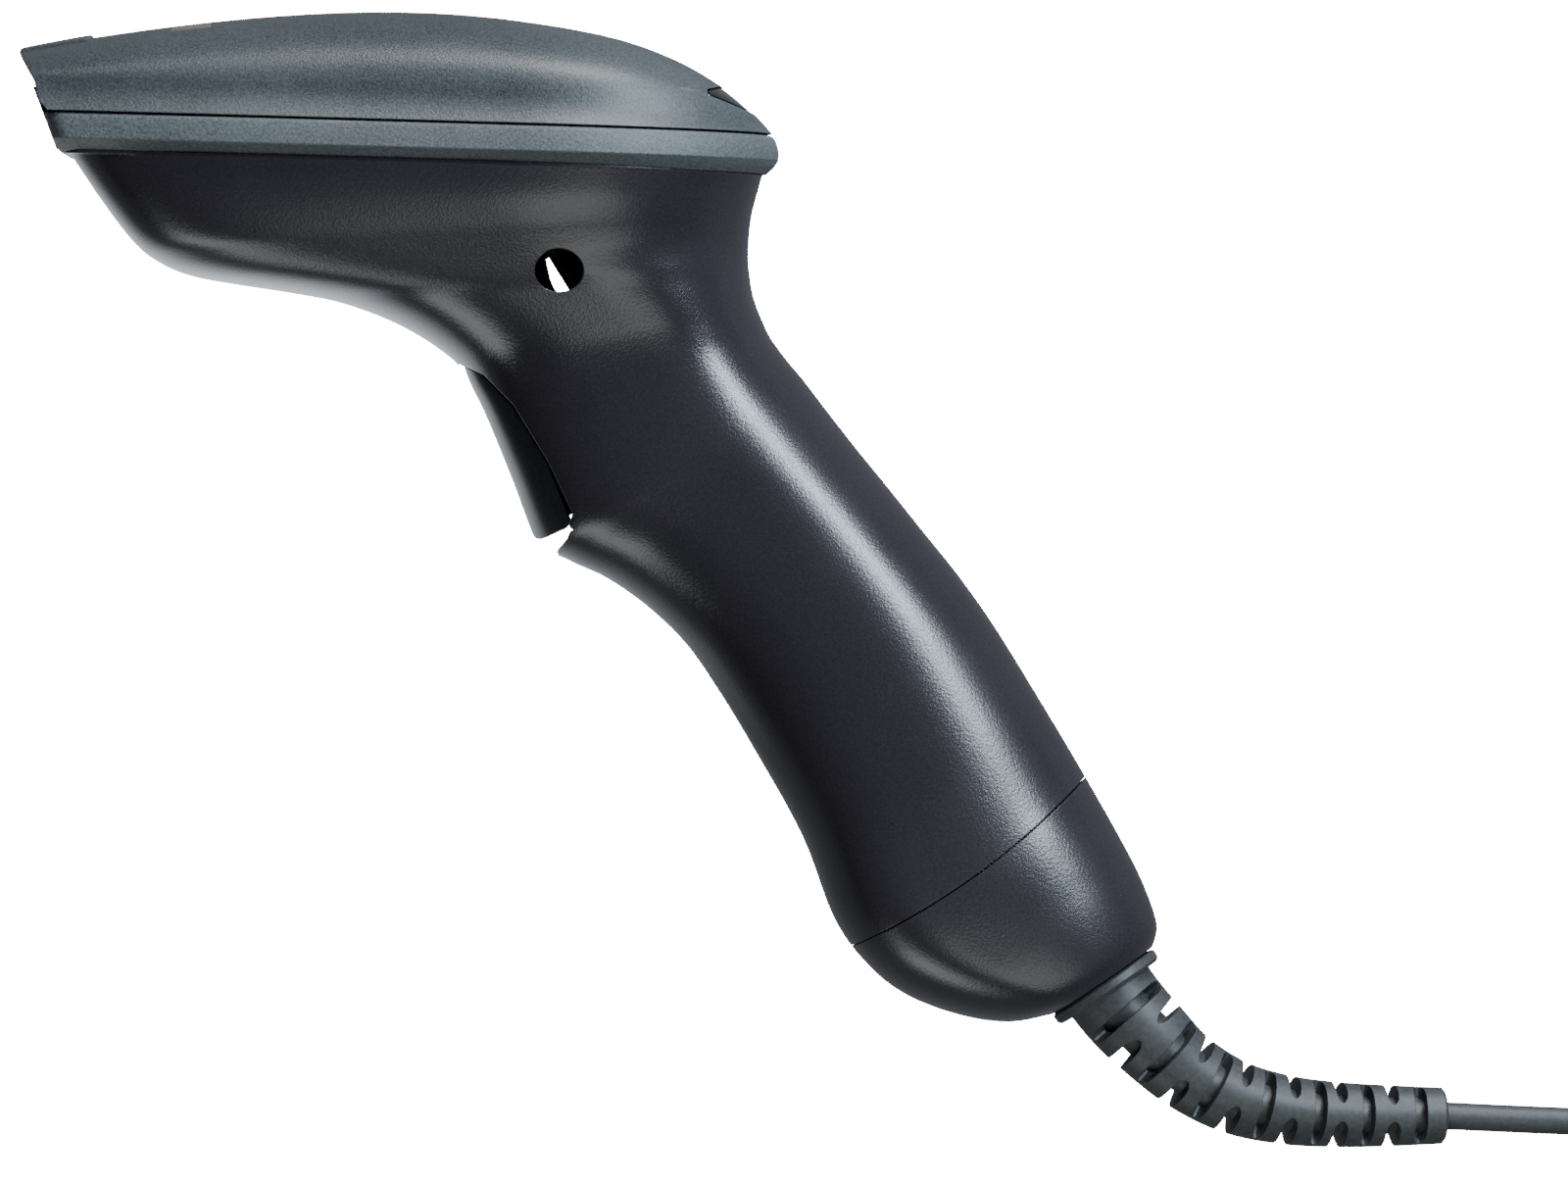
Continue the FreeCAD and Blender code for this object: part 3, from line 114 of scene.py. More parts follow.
# Side outline of the trigger, and its slices like the housing's.
TRIGGER_OUTLINE = (
    (66.2, -37.6), (70.5, -39.4), (75.3, -44.0), (81.2, -53.1), (85.2, -61.0), (84.5, -63.3),
    (79.9, -65.6), (72.0, -68.0), (62.0, -44.0),
)
TRIGGER_SLICES = (
    (66.9, -37.4, 80.0, -29.5, 10.8, 4.5), (68.3, -40.9, 84.0, -32.0, 11.6, 4.2),
    (70.8, -45.7, 88.0, -35.5, 12.2, 3.6), (75.2, -55.6, 93.0, -45.0, 12.6, 3.2),
    (78.7, -64.2, 97.0, -53.3, 12.6, 3.0), (80.6, -67.2, 99.0, -56.3, 12.6, 3.0),
)
# The handle's notch under the trigger.
NOTCH_OUTLINE = (
    (84.75, -62.9), (84.85, -63.8), (84.4, -65.0), (83.4, -66.2), (82.9, -66.8), (82.8, -67.2),
    (83.0, -67.55), (82.9, -69.0), (70.0, -69.0), (70.0, -60.0),
)
# The indicator lens in its pocket at the cover's rear.
LENS_POCKET = ((104.7, 6.8), (107.5, 7.7), (118.0, 9.0), (118.0, 2.4), (112.3, 3.3), (104.9, 5.9))
LENS_OUTLINE = ((104.9, 6.7), (107.5, 7.5), (117.0, 8.6), (117.0, 2.8), (112.3, 3.5), (105.1, 6.0))
SCREW_PLACES = ((26.0, -18.6), (103.5, -11.5), (94.5, -53.9), (117.6, -87.0), (140.5, -112.5))
# Outline of a web plate of the far shell behind the side hole.
PORT_WEB = (
    (76.0, -16.5), (78.4, -18.4), (79.5, -20.3), (79.9, -21.9), (80.3, -23.5), (80.9, -24.8),
    (81.7, -25.9), (82.5, -27.2), (77.0, -27.6),
)
# The handle's end cap: three points of its curved seam, the flat where the cable comes out.
CAP_SEAM = ((128.5, -129.8), (150.0, -117.0), (168.8, -99.4))
CAP_FACE = (171.5, -133.0)
CABLE_OUT = (0.577, -0.817)


# ---- meshes ---------------------------------------------------------------------------
def spline(rows, steps):
    """The rows with smooth rows between them."""
    result = []
    for i in range(len(rows) - 1):
        around = (rows[max(i - 1, 0)], rows[i], rows[i + 1], rows[min(i + 2, len(rows) - 1)])
        for step in range(steps):
            t = step / steps
            result.append(tuple(
                0.5 * (2 * b + (c - a) * t + (2 * a - 5 * b + 4 * c - d) * t**2
                       + (3 * b - a - 3 * c + d) * t**3) for a, b, c, d in zip(*around)))
    result.append(tuple(rows[-1]))
    return result


def height_on(line, x):
    """Height of the smooth line through (X, Z) points at X."""
    if x <= line[0][0]:
        return line[0][1]
    for i in range(len(line) - 1):
        (x0, z0), (x1, z1) = line[i], line[i + 1]
        if x <= x1:
            before = line[max(i - 1, 0)]
            after = line[min(i + 2, len(line) - 1)]
            slope0 = (z1 - before[1]) / (x1 - before[0])
            slope1 = (after[1] - z0) / (after[0] - x0)
            t = (x - x0) / (x1 - x0)
            span = x1 - x0
            return ((2 * t**3 - 3 * t**2 + 1) * z0 + (t**3 - 2 * t**2 + t) * span * slope0
                    + (3 * t**2 - 2 * t**3) * z1 + (t**3 - t**2) * span * slope1)
    return line[-1][1]


def new_object(name, bm):
    mesh = bpy.data.meshes.new(name)
    bm.to_mesh(mesh)
    bm.free()
    obj = bpy.data.objects.new(name, mesh)
    bpy.context.scene.collection.objects.link(obj)
    return obj


def rings_solid(name, rings):
    """A closed solid through rings of equally many points."""
    bm = bmesh.new()
    loops = [[bm.verts.new(p) for p in ring] for ring in rings]
    count = len(loops[0])
    for lower, upper in zip(loops, loops[1:]):
        for i in range(count):
            j = (i + 1) % count
            bm.faces.new((lower[i], lower[j], upper[j], upper[i]))
    bm.faces.new(list(reversed(loops[0])))
    bm.faces.new(loops[-1])
    bmesh.ops.recalc_face_normals(bm, faces=bm.faces)
    return new_object(name, bm)


def prism(outline, y0, y1):
    """A side outline of (X, Z) points, between two Y."""
    return rings_solid("prism", [[(x, y, z) for x, z in outline] for y in (y0, y1)])


def oval_bar(x, z, radius_x, radius_z, y0, y1, count=64):
    """An oval bar along Y."""
    outline = []
    for i in range(count):
        angle = 2 * math.pi * i / count
        outline.append((x + radius_x * math.cos(angle), z + radius_z * math.sin(angle)))
    return prism(outline, y0, y1)


def box(x0, x1, y0, y1, z0, z1):
    return prism(((x0, z0), (x1, z0), (x1, z1), (x0, z1)), y0, y1)


def combine(base, other, operation, keep=False):
    """Boolean of two closed meshes; other is used up unless it is kept."""
    modifier = base.modifiers.new("combine", "BOOLEAN")
    modifier.operation = operation
    modifier.solver = "MANIFOLD"
    modifier.object = other
    bpy.context.view_layer.update()
    graph = bpy.context.evaluated_depsgraph_get()
    result = bpy.data.meshes.new_from_object(base.evaluated_get(graph))
    base.modifiers.clear()
    old = base.data
    base.data = result
    bpy.data.meshes.remove(old)
    if not keep:
        mesh = other.data
        bpy.data.objects.remove(other)
        bpy.data.meshes.remove(mesh)
    return base


def cut(base, other, keep=False):
    return combine(base, other, "DIFFERENCE", keep)


def join(base, other):
    return combine(base, other, "UNION")


def common(base, other, keep=False):
    return combine(base, other, "INTERSECT", keep)


def duplicate(obj, name):
    other = bpy.data.objects.new(name, obj.data.copy())
    bpy.context.scene.collection.objects.link(other)
    return other


LAY_DOWN = Matrix.Scale(0.001, 4) @ Matrix.Translation(LAID_AT) @ Matrix.Rotation(ROLL, 4, "X")


def finish_piece(obj, name, body, material, nodes, sharp=32, laid=False):
    """Lay a piece on the table, shade it, and let it stand for its CAD nodes."""
    obj.name = name
    mesh = obj.data
    mesh.name = name
    if not laid:
        mesh.transform(LAY_DOWN)
    bm = bmesh.new()
    bm.from_mesh(mesh)
    bmesh.ops.remove_doubles(bm, verts=bm.verts, dist=1e-6)
    bmesh.ops.recalc_face_normals(bm, faces=bm.faces)
    bm.to_mesh(mesh)
    bm.free()
    mesh.shade_smooth()
    mesh.set_sharp_from_angle(angle=math.radians(sharp))
    mesh.materials.clear()
    mesh.materials.append(material)
    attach(obj, body)
    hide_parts(*nodes)
    return obj


# ---- outer forms ----------------------------------------------------------------------
RING_POINTS = 120


def slice_ring(front, back, half_width, squareness, count, widest=WIDEST):
    """A squarish oval between two (X, Z) points, with its own squareness in front."""
    length = math.hypot(back[0] - front[0], back[1] - front[1])
    along = ((back[0] - front[0]) / length, (back[1] - front[1]) / length)
    ring = []
    for i in range(count):
        angle = 2 * math.pi * i / count
        cosine = math.cos(angle)
        power = squareness if cosine > 0 else min(squareness, BACK_POWER)
        reach = widest if cosine > 0 else 1 - widest
        step = widest - math.copysign(abs(cosine) ** (2 / power), cosine) * reach
        side = math.copysign(abs(math.sin(angle)) ** (2 / power), math.sin(angle))
        ring.append((front[0] + along[0] * step * length, side * half_width,
                     front[1] + along[1] * step * length))
    return ring


def left_normal(line, i):
    """Unit vector to the left of a line of (X, Z) points."""
    before = line[max(i - 1, 0)]
    after = line[min(i + 1, len(line) - 1)]
    dx, dz = after[0] - before[0], after[1] - before[1]
    length = math.hypot(dx, dz)
    return (-dz / length, dx / length)


def housing_form(inset):
    """The housing and handle as one solid, inset from its outside."""
    rows = spline(HOUSING_SLICES, 5)
    fronts = [(row[0], row[1]) for row in rows]
    backs = [(row[2], row[3]) for row in rows]
    rings = []
    for i, row in enumerate(rows):
        front_way = left_normal(fronts, i)
        back_way = left_normal(backs, i)
        front = (fronts[i][0] + front_way[0] * inset, fronts[i][1] + front_way[1] * inset)
        back = (backs[i][0] - back_way[0] * inset, backs[i][1] - back_way[1] * inset)
        lower = min(max((WIDEST_DROP_FROM - row[1]) / WIDEST_DROP_LENGTH, 0), 1)
        rings.append(slice_ring(front, back, row[4] - inset, row[5], RING_POINTS,
                                WIDEST - WIDEST_DROP * lower))
    return rings_solid("form", rings)


def head_half_width(x, half_width, front, rear):
    if x >= TAPER_START:
        part = min((x - TAPER_START) / (rear - TAPER_START), 1.0)
        return half_width * (1 - part**REAR_POWER) ** (1 / REAR_POWER)
    width = half_width - NOSE_TAPER * (1 - min(max(x - front, 0) / NOSE_TAPER_LENGTH, 1.0)) ** 2
    if x < front + NOSE_CORNER:
        away = front + NOSE_CORNER - x
        width += -NOSE_CORNER + math.sqrt(max(NOSE_CORNER**2 - away**2, 0))
    return width


def head_plan(half_width, front, rear):
    """Points (X, Y) round the head's plan."""
    flat = half_width - NOSE_TAPER - NOSE_CORNER
    half = [(front, flat * i / 14) for i in range(15)]
    for i in range(1, 8):
        x = front + NOSE_CORNER * (1 - math.cos(math.radians(90 * i / 8)))
        half.append((x, head_half_width(x, half_width, front, rear)))
    for i in range(31):
        x = front + NOSE_CORNER + (TAPER_START - front - NOSE_CORNER) * i / 30
        half.append((x, head_half_width(x, half_width, front, rear)))
    for i in range(1, 30):
        x = TAPER_START + (rear - TAPER_START) * math.sin(math.radians(3 * i)) ** (2 / REAR_POWER)
        half.append((x, head_half_width(x, half_width, front, rear)))
    mirrored = [(x, -y) for x, y in reversed(half[1:])]
    return half + [(rear, 0.0)] + mirrored


def flat_stack(levels):
    """A solid of flat rings: (half width, front, rear, z)."""
    return rings_solid("rings", [[(x, y, z) for x, y in head_plan(half, front, rear)]
                                 for half, front, rear, z in levels])


def cover_height(x, y, half_width, front, rear, drop):
    """The cover's side: a flared foot, an upright wall and a rounding up to the top line."""
    top = height_on(TOP_LINE, x) - drop
    foot = SEAM_GAP + (FOOT_HEIGHT - SEAM_GAP) * min(1.0, max(rear - x, 0) / 25.0) ** 0.7
    width = max(head_half_width(x, half_width, front, rear), 0.001)
    across = min(abs(y) / width, 1.0)
    out = (1 - across) / FOOT_PART
    if out < 1:
        return SEAM_GAP + (foot - SEAM_GAP) * (1 - (1 - out) ** (1 / FOOT_CURVE))
    return foot + max(top - foot, 0) * (1 - (across / (1 - FOOT_PART)) ** COVER_POWER) ** 0.5


def cover_form(inset, drop, base):
    """The cover as one solid, inset from its side and lowered from its top."""
    half_width = COVER_HALF_WIDTH - inset
    front = COVER_FRONT + inset
    rear = HEAD_REAR - inset
    plan = head_plan(half_width, front, rear)
    rings = [[(x, y, base) for x, y in plan]]
    scales = [1 - FOOT_PART * (1 - (1 - i / FOOT_RINGS) ** FOOT_CURVE)
              for i in range(FOOT_RINGS + 1)]
    scales += [(1 - FOOT_PART) * (1 - (i / COVER_RINGS) ** 2) ** (1 / COVER_POWER)
               for i in range(1, COVER_RINGS)]
    scales += [0.36, 0.29, 0.22, 0.14, 0.06]
    for scale in scales:
        ring = []
        for x, y in plan:
            ring_x = COVER_MIDDLE + (x - COVER_MIDDLE) * scale
            ring_y = y * scale
            height = cover_height(ring_x, ring_y, half_width, front, rear, drop)
            ring.append((ring_x, ring_y, height))
        rings.append(ring)
    return rings_solid("form", rings)


WINDOW_CENTRE = (0.5, -0.6)
LEAN = math.radians(22.2)
WINDOW_DOWN = (math.sin(LEAN), -math.cos(LEAN))
WINDOW_OUT = (WINDOW_DOWN[1], -WINDOW_DOWN[0])


def window_block(half_length, half_height, out0, out1):
    """A block square to the scan window, between two distances out of it."""
    corners = []
    for down, out in ((-half_height, out0), (half_height, out0),
                      (half_height, out1), (-half_height, out1)):
        corners.append((WINDOW_CENTRE[0] + down * WINDOW_DOWN[0] + out * WINDOW_OUT[0],
                        WINDOW_CENTRE[1] + down * WINDOW_DOWN[1] + out * WINDOW_OUT[1]))
    return prism(corners, -half_length, half_length)


def handle_block(down0, down1, back0, back1, y0, y1):
    """A block along the handle, from distances down it and back from the trigger's board."""
    way = (math.cos(SLOPE), -math.sin(SLOPE))
    back_way = (-way[1], way[0])
    corners = []
    for down, back in ((down0, back0), (down1, back0), (down1, back1), (down0, back1)):
        corners.append((BOARD_TOP[0] + down * way[0] + back * back_way[0],
                        BOARD_TOP[1] + down * way[1] + back * back_way[1]))
    return prism(corners, y0, y1)


def turned(outline, angle):
    """An outline turned about the trigger's pin."""
    cosine, sine = math.cos(angle), math.sin(angle)
    return [(PIVOT[0] + (x - PIVOT[0]) * cosine - (z - PIVOT[1]) * sine,
             PIVOT[1] + (x - PIVOT[0]) * sine + (z - PIVOT[1]) * cosine) for x, z in outline]


def shrunk(outline, gap):
    """A clockwise side outline, moved inwards by gap."""
    corners = []
    for i in range(len(outline)):
        before, corner, after = outline[i - 1], outline[i], outline[(i + 1) % len(outline)]
        in_way = math.hypot(corner[0] - before[0], corner[1] - before[1])
        out_way = math.hypot(after[0] - corner[0], after[1] - corner[1])
        first = ((corner[1] - before[1]) / in_way, (before[0] - corner[0]) / in_way)
        second = ((after[1] - corner[1]) / out_way, (corner[0] - after[0]) / out_way)
        scale = gap / (1 + first[0] * second[0] + first[1] * second[1])
        corners.append((corner[0] + (first[0] + second[0]) * scale,
                        corner[1] + (first[1] + second[1]) * scale))
    return corners


def arc_points(first, middle, last, count):
    """Points of the arc through three (X, Z) points."""
    ax, az = first
    bx, bz = middle
    cx, cz = last
    d = 2 * (ax * (bz - cz) + bx * (cz - az) + cx * (az - bz))
    a, b, c = ax**2 + az**2, bx**2 + bz**2, cx**2 + cz**2
    ux = (a * (bz - cz) + b * (cz - az) + c * (az - bz)) / d
    uz = (a * (cx - bx) + b * (ax - cx) + c * (bx - ax)) / d
    radius = math.hypot(ax - ux, az - uz)
    start = math.atan2(az - uz, ax - ux)
    end = math.atan2(cz - uz, cx - ux)
    turn = (end - start + math.pi) % (2 * math.pi) - math.pi
    return [(ux + radius * math.cos(start + turn * i / count),
             uz + radius * math.sin(start + turn * i / count)) for i in range(count + 1)]


def cylinder_along(start, way, radius, length):
    """A round bar from a point of the plane of symmetry, along a direction in that plane."""
    side = Vector((0, 1, 0))
    above = Vector((way[0], 0, way[1])).cross(side)
    count = 64
    rings = []
    for reach in (0.0, length):
        middle = Vector((start[0] + way[0] * reach, 0, start[1] + way[1] * reach))
        rings.append([middle + (side * math.cos(2 * math.pi * i / count)
                                + above * math.sin(2 * math.pi * i / count)) * radius
                      for i in range(count)])
    return rings_solid("bar", rings)


# ---- materials ------------------------------------------------------------------------
def material(name):
    made = bpy.data.materials.new(name)
    made.use_nodes = True
    tree = made.node_tree
    return made, tree.nodes, tree.links, tree.nodes["Principled BSDF"]


def moulded(name, dark, light, roughness, grain=900.0, bump=0.25, depth=0.00004, spread=0.06,
            rounding=0.0003, coat=0.0, wear=0.0):
    """Moulded plastic or rubber: fine grain, soft colour blotches, uneven gloss, rounded edges."""
    made, nodes, links, shader = material(name)
    coordinates = nodes.new("ShaderNodeTexCoord")
    fine = nodes.new("ShaderNodeTexNoise")
    fine.inputs["Scale"].default_value = grain
    fine.inputs["Detail"].default_value = 3.0
    fine.inputs["Roughness"].default_value = 0.6
    broad = nodes.new("ShaderNodeTexNoise")
    broad.inputs["Scale"].default_value = 22.0
    broad.inputs["Detail"].default_value = 4.0
    links.new(coordinates.outputs["Object"], fine.inputs["Vector"])
    links.new(coordinates.outputs["Object"], broad.inputs["Vector"])
    ramp = nodes.new("ShaderNodeValToRGB")
    ramp.color_ramp.elements[0].position = 0.36
    ramp.color_ramp.elements[0].color = (*dark, 1)
    ramp.color_ramp.elements[1].position = 0.66
    ramp.color_ramp.elements[1].color = (*light, 1)
    blend = nodes.new("ShaderNodeMath")
    blend.operation = "MULTIPLY_ADD"
    blend.inputs[1].default_value = 0.35
    links.new(broad.outputs["Fac"], blend.inputs[0])
    scaled = nodes.new("ShaderNodeMath")
    scaled.operation = "MULTIPLY"
    scaled.inputs[1].default_value = 0.65
    links.new(fine.outputs["Fac"], scaled.inputs[0])
    links.new(scaled.outputs[0], blend.inputs[2])
    links.new(blend.outputs[0], ramp.inputs["Fac"])
    colour = ramp.outputs["Color"]
    if wear:
        geometry = nodes.new("ShaderNodeNewGeometry")
        edge = nodes.new("ShaderNodeMapRange")
        edge.inputs["From Min"].default_value = 0.53
        edge.inputs["From Max"].default_value = 0.62
        edge.inputs["To Max"].default_value = wear
        links.new(geometry.outputs["Pointiness"], edge.inputs["Value"])
        worn = nodes.new("ShaderNodeMix")
        worn.data_type = "RGBA"
        worn.inputs["B"].default_value = (*[c * 2.2 for c in light], 1)
        links.new(edge.outputs["Result"], worn.inputs["Factor"])
        links.new(colour, worn.inputs["A"])
        colour = worn.outputs["Result"]
    links.new(colour, shader.inputs["Base Color"])
    gloss = nodes.new("ShaderNodeMapRange")
    gloss.inputs["From Min"].default_value = 0.3
    gloss.inputs["From Max"].default_value = 0.7
    gloss.inputs["To Min"].default_value = roughness - spread
    gloss.inputs["To Max"].default_value = roughness + spread
    links.new(broad.outputs["Fac"], gloss.inputs["Value"])
    links.new(gloss.outputs["Result"], shader.inputs["Roughness"])
    relief = nodes.new("ShaderNodeBump")
    relief.inputs["Strength"].default_value = bump
    relief.inputs["Distance"].default_value = depth
    links.new(fine.outputs["Fac"], relief.inputs["Height"])
    if rounding:
        rounded = nodes.new("ShaderNodeBevel")
        rounded.samples = 4
        rounded.inputs["Radius"].default_value = rounding
        links.new(rounded.outputs["Normal"], relief.inputs["Normal"])
    links.new(relief.outputs["Normal"], shader.inputs["Normal"])
    shader.inputs["Specular IOR Level"].default_value = 0.5
    shader.inputs["Coat Weight"].default_value = coat
    shader.inputs["Coat Roughness"].default_value = 0.3
    return made


def metal(name, colour, roughness):
    """Metal with a fine grain in its colour and surface."""
    made, nodes, links, shader = material(name)
    coordinates = nodes.new("ShaderNodeTexCoord")
    noise = nodes.new("ShaderNodeTexNoise")
    noise.inputs["Scale"].default_value = 1400.0
    links.new(coordinates.outputs["Object"], noise.inputs["Vector"])
    ramp = nodes.new("ShaderNodeValToRGB")
    ramp.color_ramp.elements[0].color = (*[c * 0.85 for c in colour], 1)
    ramp.color_ramp.elements[1].color = (*colour, 1)
    links.new(noise.outputs["Fac"], ramp.inputs["Fac"])
    links.new(ramp.outputs["Color"], shader.inputs["Base Color"])
    relief = nodes.new("ShaderNodeBump")
    relief.inputs["Strength"].default_value = 0.15
    relief.inputs["Distance"].default_value = 0.00002
    links.new(noise.outputs["Fac"], relief.inputs["Height"])
    links.new(relief.outputs["Normal"], shader.inputs["Normal"])
    shader.inputs["Metallic"].default_value = 1.0
    shader.inputs["Roughness"].default_value = roughness
    return made


def clear(name, colour, roughness, transmission):
    """Clear plastic or glass with a slight unevenness in its tint."""
    made, nodes, links, shader = material(name)
    coordinates = nodes.new("ShaderNodeTexCoord")
    noise = nodes.new("ShaderNodeTexNoise")
    noise.inputs["Scale"].default_value = 300.0
    links.new(coordinates.outputs["Object"], noise.inputs["Vector"])
    ramp = nodes.new("ShaderNodeValToRGB")
    ramp.color_ramp.elements[0].color = (*[c * 0.9 for c in colour], 1)
    ramp.color_ramp.elements[1].color = (*colour, 1)
    links.new(noise.outputs["Fac"], ramp.inputs["Fac"])
    links.new(ramp.outputs["Color"], shader.inputs["Base Color"])
    shader.inputs["Roughness"].default_value = roughness
    shader.inputs["Transmission Weight"].default_value = transmission
    shader.inputs["IOR"].default_value = 1.5
    return made


HOUSING = moulded("housing_plastic", (0.0165, 0.0140, 0.0185), (0.0255, 0.0220, 0.0290), 0.235,
                  grain=2400.0, bump=0.8, depth=0.00005, wear=0.2)
COVER = moulded("cover_plastic", (0.018, 0.022, 0.025), (0.070, 0.080, 0.088), 0.40,
                grain=2600.0, bump=0.9, depth=0.00006, wear=0.3)
BAND = moulded("band_rubber", (0.034, 0.040, 0.044), (0.110, 0.124, 0.136), 0.52,
               grain=2400.0, bump=1.0, depth=0.00008, wear=0.2)
TRIGGER = moulded("trigger_plastic", (0.012, 0.0125, 0.015), (0.022, 0.023, 0.027), 0.36,
                  grain=2000.0, bump=0.4, depth=0.00003, wear=0.3)
RUBBER = moulded("cable_rubber", (0.024, 0.026, 0.029), (0.047, 0.050, 0.054), 0.5,
                 grain=1200.0, bump=0.5, depth=0.00003, rounding=0.00025)
BLACK = moulded("dark_plastic", (0.008, 0.008, 0.01), (0.016, 0.016, 0.019), 0.35, bump=0.2)
GLOSS = moulded("indicator_plastic", (0.004, 0.004, 0.006), (0.008, 0.008, 0.011), 0.1, bump=0.03,
                spread=0.02, coat=0.3)
PLATE = moulded("badge_plate", (0.10, 0.09, 0.08), (0.15, 0.135, 0.12), 0.35, bump=0.2)
CHASSIS = moulded("chassis_plastic", (0.02, 0.02, 0.022), (0.035, 0.035, 0.038), 0.5, bump=0.3)
BOARD = moulded("circuit_board", (0.008, 0.055, 0.022), (0.014, 0.085, 0.035), 0.35, grain=700.0,
                bump=0.2, rounding=0)
CHIP = moulded("chip_package", (0.01, 0.01, 0.011), (0.02, 0.02, 0.021), 0.45, bump=0.3, rounding=0)
CONNECTOR = moulded("connector_plastic", (0.42, 0.41, 0.37), (0.55, 0.53, 0.48), 0.45, rounding=0)
RIBBON = moulded("ribbon_film", (0.30, 0.16, 0.03), (0.42, 0.24, 0.06), 0.3, rounding=0)
LED = moulded("led_package", (0.55, 0.54, 0.5), (0.75, 0.73, 0.68), 0.3, rounding=0)
WIRE = moulded("wire_sleeve", (0.2, 0.02, 0.02), (0.32, 0.04, 0.03), 0.4, rounding=0)
TIE = moulded("tie_fabric", (0.012, 0.012, 0.013), (0.03, 0.03, 0.032), 0.85, grain=2200.0,
              bump=1.0, depth=0.00012)
TONGUE = moulded("tongue_plastic", (0.6, 0.6, 0.58), (0.8, 0.8, 0.77), 0.4, rounding=0)
STEEL = metal("steel", (0.62, 0.62, 0.64), 0.28)
SPRING = metal("spring_steel", (0.5, 0.5, 0.52), 0.22)
GOLD = metal("contact_plating", (0.83, 0.62, 0.28), 0.25)
NICKEL = metal("nickel_shell", (0.72, 0.72, 0.73), 0.2)
GLASS = clear("lens_glass", (0.95, 0.97, 0.97), 0.02, 0.95)
WINDOW = clear("window_acrylic", (0.35, 0.03, 0.03), 0.05, 0.6)
PIPE = clear("light_pipe_acrylic", (0.92, 0.95, 0.95), 0.08, 0.8)

NODE_MATERIALS = {
    "shell_screws": STEEL, "window_bezel": BLACK, "scan_window": WINDOW, "optics_chassis": CHASSIS,
    "chassis_screws": STEEL, "lens_barrel": BLACK, "lens_elements": GLASS, "sensor_board": BOARD,
    "line_sensor": CHIP, "sensor_screws": STEEL, "led_board": BOARD, "illumination_leds": LED,
    "main_board": BOARD, "board_spacers": GOLD, "board_screws": STEEL, "board_chips": CHIP,
    "ribbon_socket": CONNECTOR, "ribbon_cable": RIBBON, "beeper": CHIP, "indicator_led": LED,
    "light_pipe": PIPE, "trigger_pin": STEEL, "trigger_spring": SPRING, "switch_board": BOARD,
    "switch_body": CHIP, "switch_plunger": CONNECTOR, "switch_pins": STEEL,
    "board_connector": CONNECTOR, "modular_plug": PIPE, "modular_jack": CONNECTOR,
    "jack_board": BOARD, "plug_contacts": GOLD, "handle_wires": WIRE,
    "cable_tie": TIE, "usb_overmould": RUBBER, "usb_shell": NICKEL, "usb_tongue": TONGUE,
    "usb_contacts": GOLD,
}
for node_name, node_material in NODE_MATERIALS.items():
    mesh = frame["nodes"][node_name].data
    mesh.materials.clear()
    mesh.materials.append(node_material)


# ---- cord -----------------------------------------------------------------------------
# Sizes in metres. The coil has two layers, each of several turns.
CORD_RADIUS = 0.0022
CORD_START = ((0.115532, -0.082209, 0.0049), (0.134532, -0.082459, 0.00295),
              (0.155532, -0.082309, 0.00225))
CORD_FINISH = ((0.210532, -0.041209, 0.0066), (0.211432, -0.036209, 0.005),
               (0.211632, -0.024209, 0.0042))
COIL_CENTRE = (0.177532, -0.049209)
COIL_TURNS = 8.25
OUTER_TURN = 0.033
TURN_STEP = 0.0044
LAYER_LOW = 0.00225
LAYER_HIGH = 0.00666
POINTS_PER_TURN = 16


def coil_radius(turn):
    """Radius after so many turns: inwards on the table, then outwards on top."""
    inner = OUTER_TURN - 3 * TURN_STEP
    if turn < 4.25:
        return max(OUTER_TURN - TURN_STEP * turn, inner)
    return min(inner + TURN_STEP * max(turn - 4.75, 0), OUTER_TURN)


def coil_height(turn):
    """Height after so many turns, with a short climb between the layers."""
    climb = min(max((turn - 3.55) / 0.6, 0), 1)
    return LAYER_LOW + (LAYER_HIGH - LAYER_LOW) * climb


def make_cord():
    points = list(CORD_START)
    stretch = 1 / math.cos(math.pi / POINTS_PER_TURN)
    for i in range(int(COIL_TURNS * POINTS_PER_TURN)):
        turn = (i + 0.5) / POINTS_PER_TURN
        angle = 2 * math.pi * (turn - 0.25)
        radius = coil_radius(turn) * stretch
        points.append((COIL_CENTRE[0] + radius * math.cos(angle),
                       COIL_CENTRE[1] + radius * math.sin(angle), coil_height(turn)))
    points += CORD_FINISH
    curve = bpy.data.curves.new("cord", "CURVE")
    curve.dimensions = "3D"
    curve.bevel_depth = CORD_RADIUS
    curve.bevel_resolution = 6
    curve.resolution_u = 6
    curve.use_fill_caps = True
    line = curve.splines.new("NURBS")
    line.points.add(len(points) - 1)
    for item, place in zip(line.points, points):
        item.co = (*place, 1)
    line.order_u = 3
    line.use_endpoint_u = True
    cord = bpy.data.objects.new("usb_cord", curve)
    bpy.context.scene.collection.objects.link(cord)
    curve.materials.append(RUBBER)
    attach(cord, "housing")
    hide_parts("cable", "cable_coil", "cable_end")


make_cord()


# ---- outer pieces ---------------------------------------------------------------------
def below_seam(gap=0.0):
    """Everything beyond the end cap's seam, moved further by the gap."""
    arc = arc_points(*CAP_SEAM, 48)
    outline = arc + [(230, -60), (230, -200), (80, -200), (100, -126)]
    return prism([(x + CABLE_OUT[0] * gap, z + CABLE_OUT[1] * gap) for x, z in outline], -60, 60)


def along_cable(reach):
    """The (X, Z) point at a distance out of the cap's face."""
    return (CAP_FACE[0] + CABLE_OUT[0] * reach, CAP_FACE[1] + CABLE_OUT[1] * reach)


